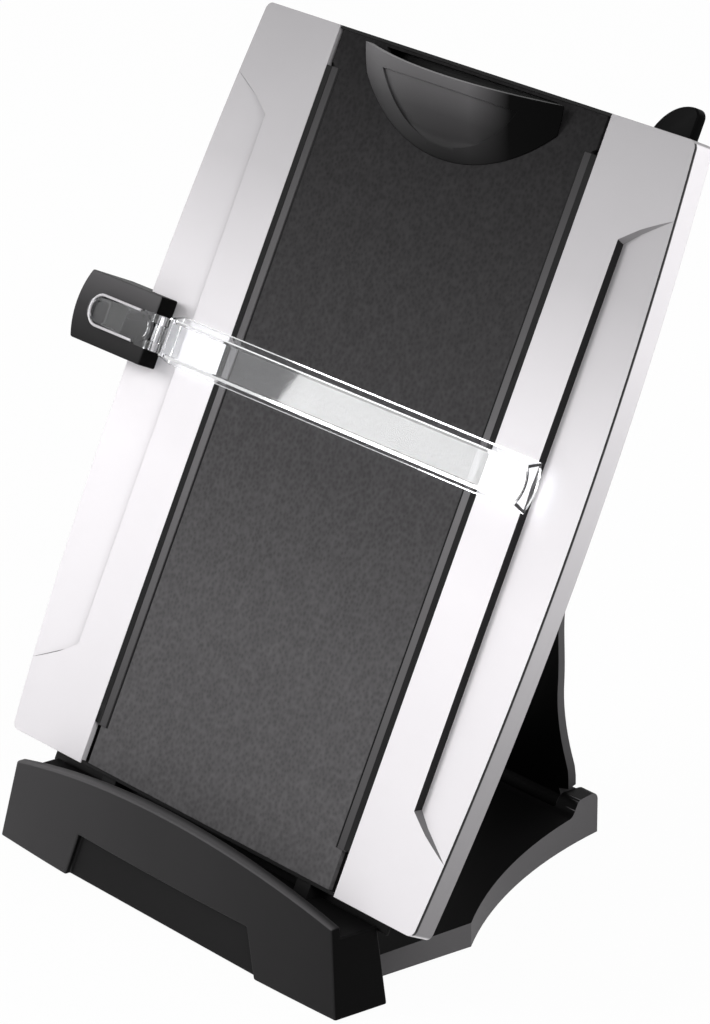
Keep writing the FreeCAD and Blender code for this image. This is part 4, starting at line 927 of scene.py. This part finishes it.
def makeScrews(node, way, values):
    cross = crossOutline(values["slotLong"], values["slotWide"])
    crown = values["crown"]
    brimDrop = crown * values["brimDrop"]
    side = way.orthogonal().normalized()
    other = way.cross(side)
    flats = [side * a + other * b for a, b in cross]
    spokes = [flat.normalized() for flat in flats]
    work = bmesh.new()
    for group in islands(node):
        middle = middleOf(group)
        spans, radii = spansAndRadii(group, middle, way)
        low, high = min(spans), max(spans)
        head = max(radii)
        shank = min(radius for radius in radii if radius > head * values["shankLeast"])
        top = middle + way * low
        layers = [(flats, values["floorShare"], brimDrop + values["slotDeep"]),
                  (flats, 1.0, brimDrop)]
        layers += [(spokes, head * share, crown * drop) for share, drop in values["crownRings"]]
        layers += [(spokes, head, values["headHigh"]), (spokes, shank, values["headHigh"]),
                   (spokes, shank, high - low)]
        rings = [[work.verts.new(top + way * along + arm * reach) for arm in arms]
                 for arms, reach, along in layers]
        for inner, outer in zip(rings, rings[1:]):
            for step in range(len(cross)):
                after = (step + 1) % len(cross)
                work.faces.new((inner[step], outer[step], outer[after], inner[after]))
        work.faces.new(rings[0])
        work.faces.new(list(reversed(rings[-1])))
    bmesh.ops.recalc_face_normals(work, faces=work.faces)
    mesh = meshFrom(work, node + "_crossHead")
    smoothShade(mesh)
    replaceNode(node, "_crossHead", mesh)


for node, way in screwWays.items():
    makeScrews(node, way, screwShape)
print("stage: screws")


def makeWire(name, points, thick, roundness):
    # A round wire along straight stretches from point to point
    data = bpy.data.curves.new(name, "CURVE")
    data.dimensions = "3D"
    data.bevel_depth = thick
    data.bevel_resolution = roundness
    data.use_fill_caps = True
    line = data.splines.new("POLY")
    line.points.add(len(points) - 1)
    for point, place in zip(line.points, points):
        point.co = (*place, 1)
    return data


# Torsion spring of the clip: a wound coil with two legs
springShape = {"turns": 9.0, "wire": 0.0004, "legDown": 0.009, "perTurn": 20, "roundness": 4}


def makeSpring(values):
    low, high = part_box("clip_spring")
    middle = (low + high) / 2
    reach = (high.x - low.x) / 2 - values["wire"]
    radius = (high.y - low.y) / 2 - values["wire"]
    count = int(values["turns"] * values["perTurn"])
    points = []
    for step in range(count + 1):
        angle = 2 * math.pi * step / values["perTurn"]
        spot = middle + Vector((-reach + 2 * reach * step / count, 0, 0))
        points.append(spot + (boardBack * math.cos(angle) + boardUp * math.sin(angle)) * radius)
    points.insert(0, points[0] - boardUp * values["legDown"])
    points.append(points[-1] - boardUp * values["legDown"])
    wire = makeWire("clipSpringWire", points, values["wire"], values["roundness"])
    replaceNode("clip_spring", "_coil", wire)


makeSpring(springShape)


def makeSlab(name, outline, front, back, roundness):
    # An outline of (across, height) pairs on the board, thickened and with rounded edges
    work = bmesh.new()
    corners = [work.verts.new(onBoard(across, front, height)) for across, height in outline]
    grown = bmesh.ops.extrude_face_region(work, geom=[work.faces.new(corners)])
    moved = [item for item in grown["geom"] if isinstance(item, bmesh.types.BMVert)]
    bmesh.ops.translate(work, vec=onBoard(0, back, 0) - onBoard(0, front, 0), verts=moved)
    bmesh.ops.recalc_face_normals(work, faces=work.faces)
    rims = [edge for edge in work.edges if edge.calc_face_angle(0) > shading["sharp"]]
    bmesh.ops.bevel(work, geom=rims, offset=roundness, segments=rounding["segments"],
                    profile=rounding["profile"], affect="EDGES")
    mesh = meshFrom(work, name)
    smoothShade(mesh)
    return mesh


def makeBlock(name, low, high, roundness):
    # A block between two corners of the board's own frame
    outline = [(low[0], low[2]), (high[0], low[2]), (high[0], high[2]), (low[0], high[2])]
    return makeSlab(name, outline, low[1], high[1], roundness)


# Dark window set in the slider face, below the clear tongue
windowShape = {
    "start": 0.018,
    "size": 0.0105,
    "height": 0.1645,
    "front": -0.009,
    "sunk": 0.0006,
    "thick": 0.0016,
    "play": 0.00015,
    "round": 0.0005,
}


def makeWindow(values):
    right = -board["edge"] - values["start"] + values["size"] - values["play"]
    left = right - values["size"] + 2 * values["play"]
    half = values["size"] / 2 - values["play"]
    front = values["front"] + values["sunk"]
    mesh = makeBlock("sliderWindow", (left, front, values["height"] - half),
                     (right, front + values["thick"], values["height"] + half), values["round"])
    addPiece("sliderWindow", mesh, "tabPlastic", "slider")


makeWindow(windowShape)

# Apron below the foot of the board, behind the tray, which closes the view under the board
apronShape = {
    "half": 0.1040,
    "front": 0.0076,
    "back": 0.0089,
    "low": -0.005,
    "high": 0.0004,
    "round": 0.0004,
}


def makeApron(values):
    mesh = makeBlock("easelApron", (-values["half"], values["front"], values["low"]),
                     (values["half"], values["back"], values["high"]), values["round"])
    addPiece("easelApron", mesh, "framePlastic", "easel")


makeApron(apronShape)

# Rails along the sides of the middle panel, each with a dark line beside it
railShape = {
    "wide": 0.0050,
    "line": 0.0011,
    "play": 0.0001,
    "low": 0.0165,
    "high": 0.2840,
    "front": 0.0001,
    "lineFront": 0.0003,
    "back": 0.0012,
    "round": 0.0002,
}


def makeRails(values):
    outer = max(corner.co.x for corner in nodes["center_panel"].data.vertices) - values["play"]
    inner = outer - values["wide"]
    strips = (("grooveRail", inner, outer, values["front"], "railPlasticPaintedLight"),
              ("grooveLine", inner - values["line"], inner, values["lineFront"], "framePlastic"))
    for name, near, far, front, look in strips:
        for word, side in (("Left", -1), ("Right", 1)):
            left, right = sorted((side * near, side * far))
            mesh = makeBlock(name + word, (left, front, values["low"]),
                             (right, values["back"], values["high"]), values["round"])
            addPiece(name + word, mesh, look, "easel")


makeRails(railShape)

# Felt brake of the slider, set back with the wall of the channel
brakeShape = {"front": 0.001, "back": 0.008, "low": 0.1555, "high": 0.1735, "round": 0.0002}


def makeBrake(values):
    outer = -channel["pocket"] - channel["room"]
    inner = -channel["wall"] - channel["room"]
    mesh = makeBlock("sliderBrakePad", (outer, values["front"], values["low"]),
                     (inner, values["back"], values["high"]), values["round"])
    addPiece("sliderBrakePad", mesh, "sliderFelt", "slider", "slider_brake")


makeBrake(brakeShape)

# Raised bright rim on the face of the clear tongue
rimShape = {"inset": 0.0009, "wire": 0.00055, "end": -0.1225, "steps": 14, "roundness": 3}


def makeTongueRim(values):
    low, high = boardBox("guide_tongue")
    depth = low.y + values["wire"]
    top = high.z - values["inset"]
    foot = low.z + values["inset"]
    middle = (top + foot) / 2
    radius = (top - foot) / 2
    centre = low.x + values["inset"] + radius
    points = [onBoard(values["end"], depth, top)]
    for step in range(values["steps"] + 1):
        angle = math.pi / 2 + math.pi * step / values["steps"]
        across = centre + radius * math.cos(angle)
        points.append(onBoard(across, depth, middle + radius * math.sin(angle)))
    points.append(onBoard(values["end"], depth, foot))
    wire = makeWire("tongueRimWire", points, values["wire"], values["roundness"])
    addPiece("tongueRim", wire, "rimPlastic", "slider")


makeTongueRim(rimShape)

# Pull tab of the memo board: a leaf that rises to a rounded tip
tabShape = {"tip": 0.0035, "round": 0.0007, "steps": 16, "tipSteps": 6}


def makeTab(values):
    low, high = boardBox("memo_tab")
    tip = values["tip"]
    wide = high.x - tip - low.x
    tall = high.z - low.z
    outline = [(low.x, low.z)]
    for step in range(1, values["steps"] + 1):
        angle = math.pi / 2 * step / values["steps"]
        outline.append((low.x + wide * (1 - math.cos(angle)), low.z + tall * math.sin(angle)))
    for step in range(1, values["tipSteps"] + 1):
        angle = math.pi / 2 * step / values["tipSteps"]
        outline.append((high.x - tip + tip * math.sin(angle), high.z - tip + tip * math.cos(angle)))
    outline.append((high.x, low.z))
    mesh = makeSlab("memo_tab_leaf", outline, low.y, high.y, values["round"])
    replaceNode("memo_tab", "_leaf", mesh)


makeTab(tabShape)
print("stage: spring, window, apron, rails, brake, rim and tab")
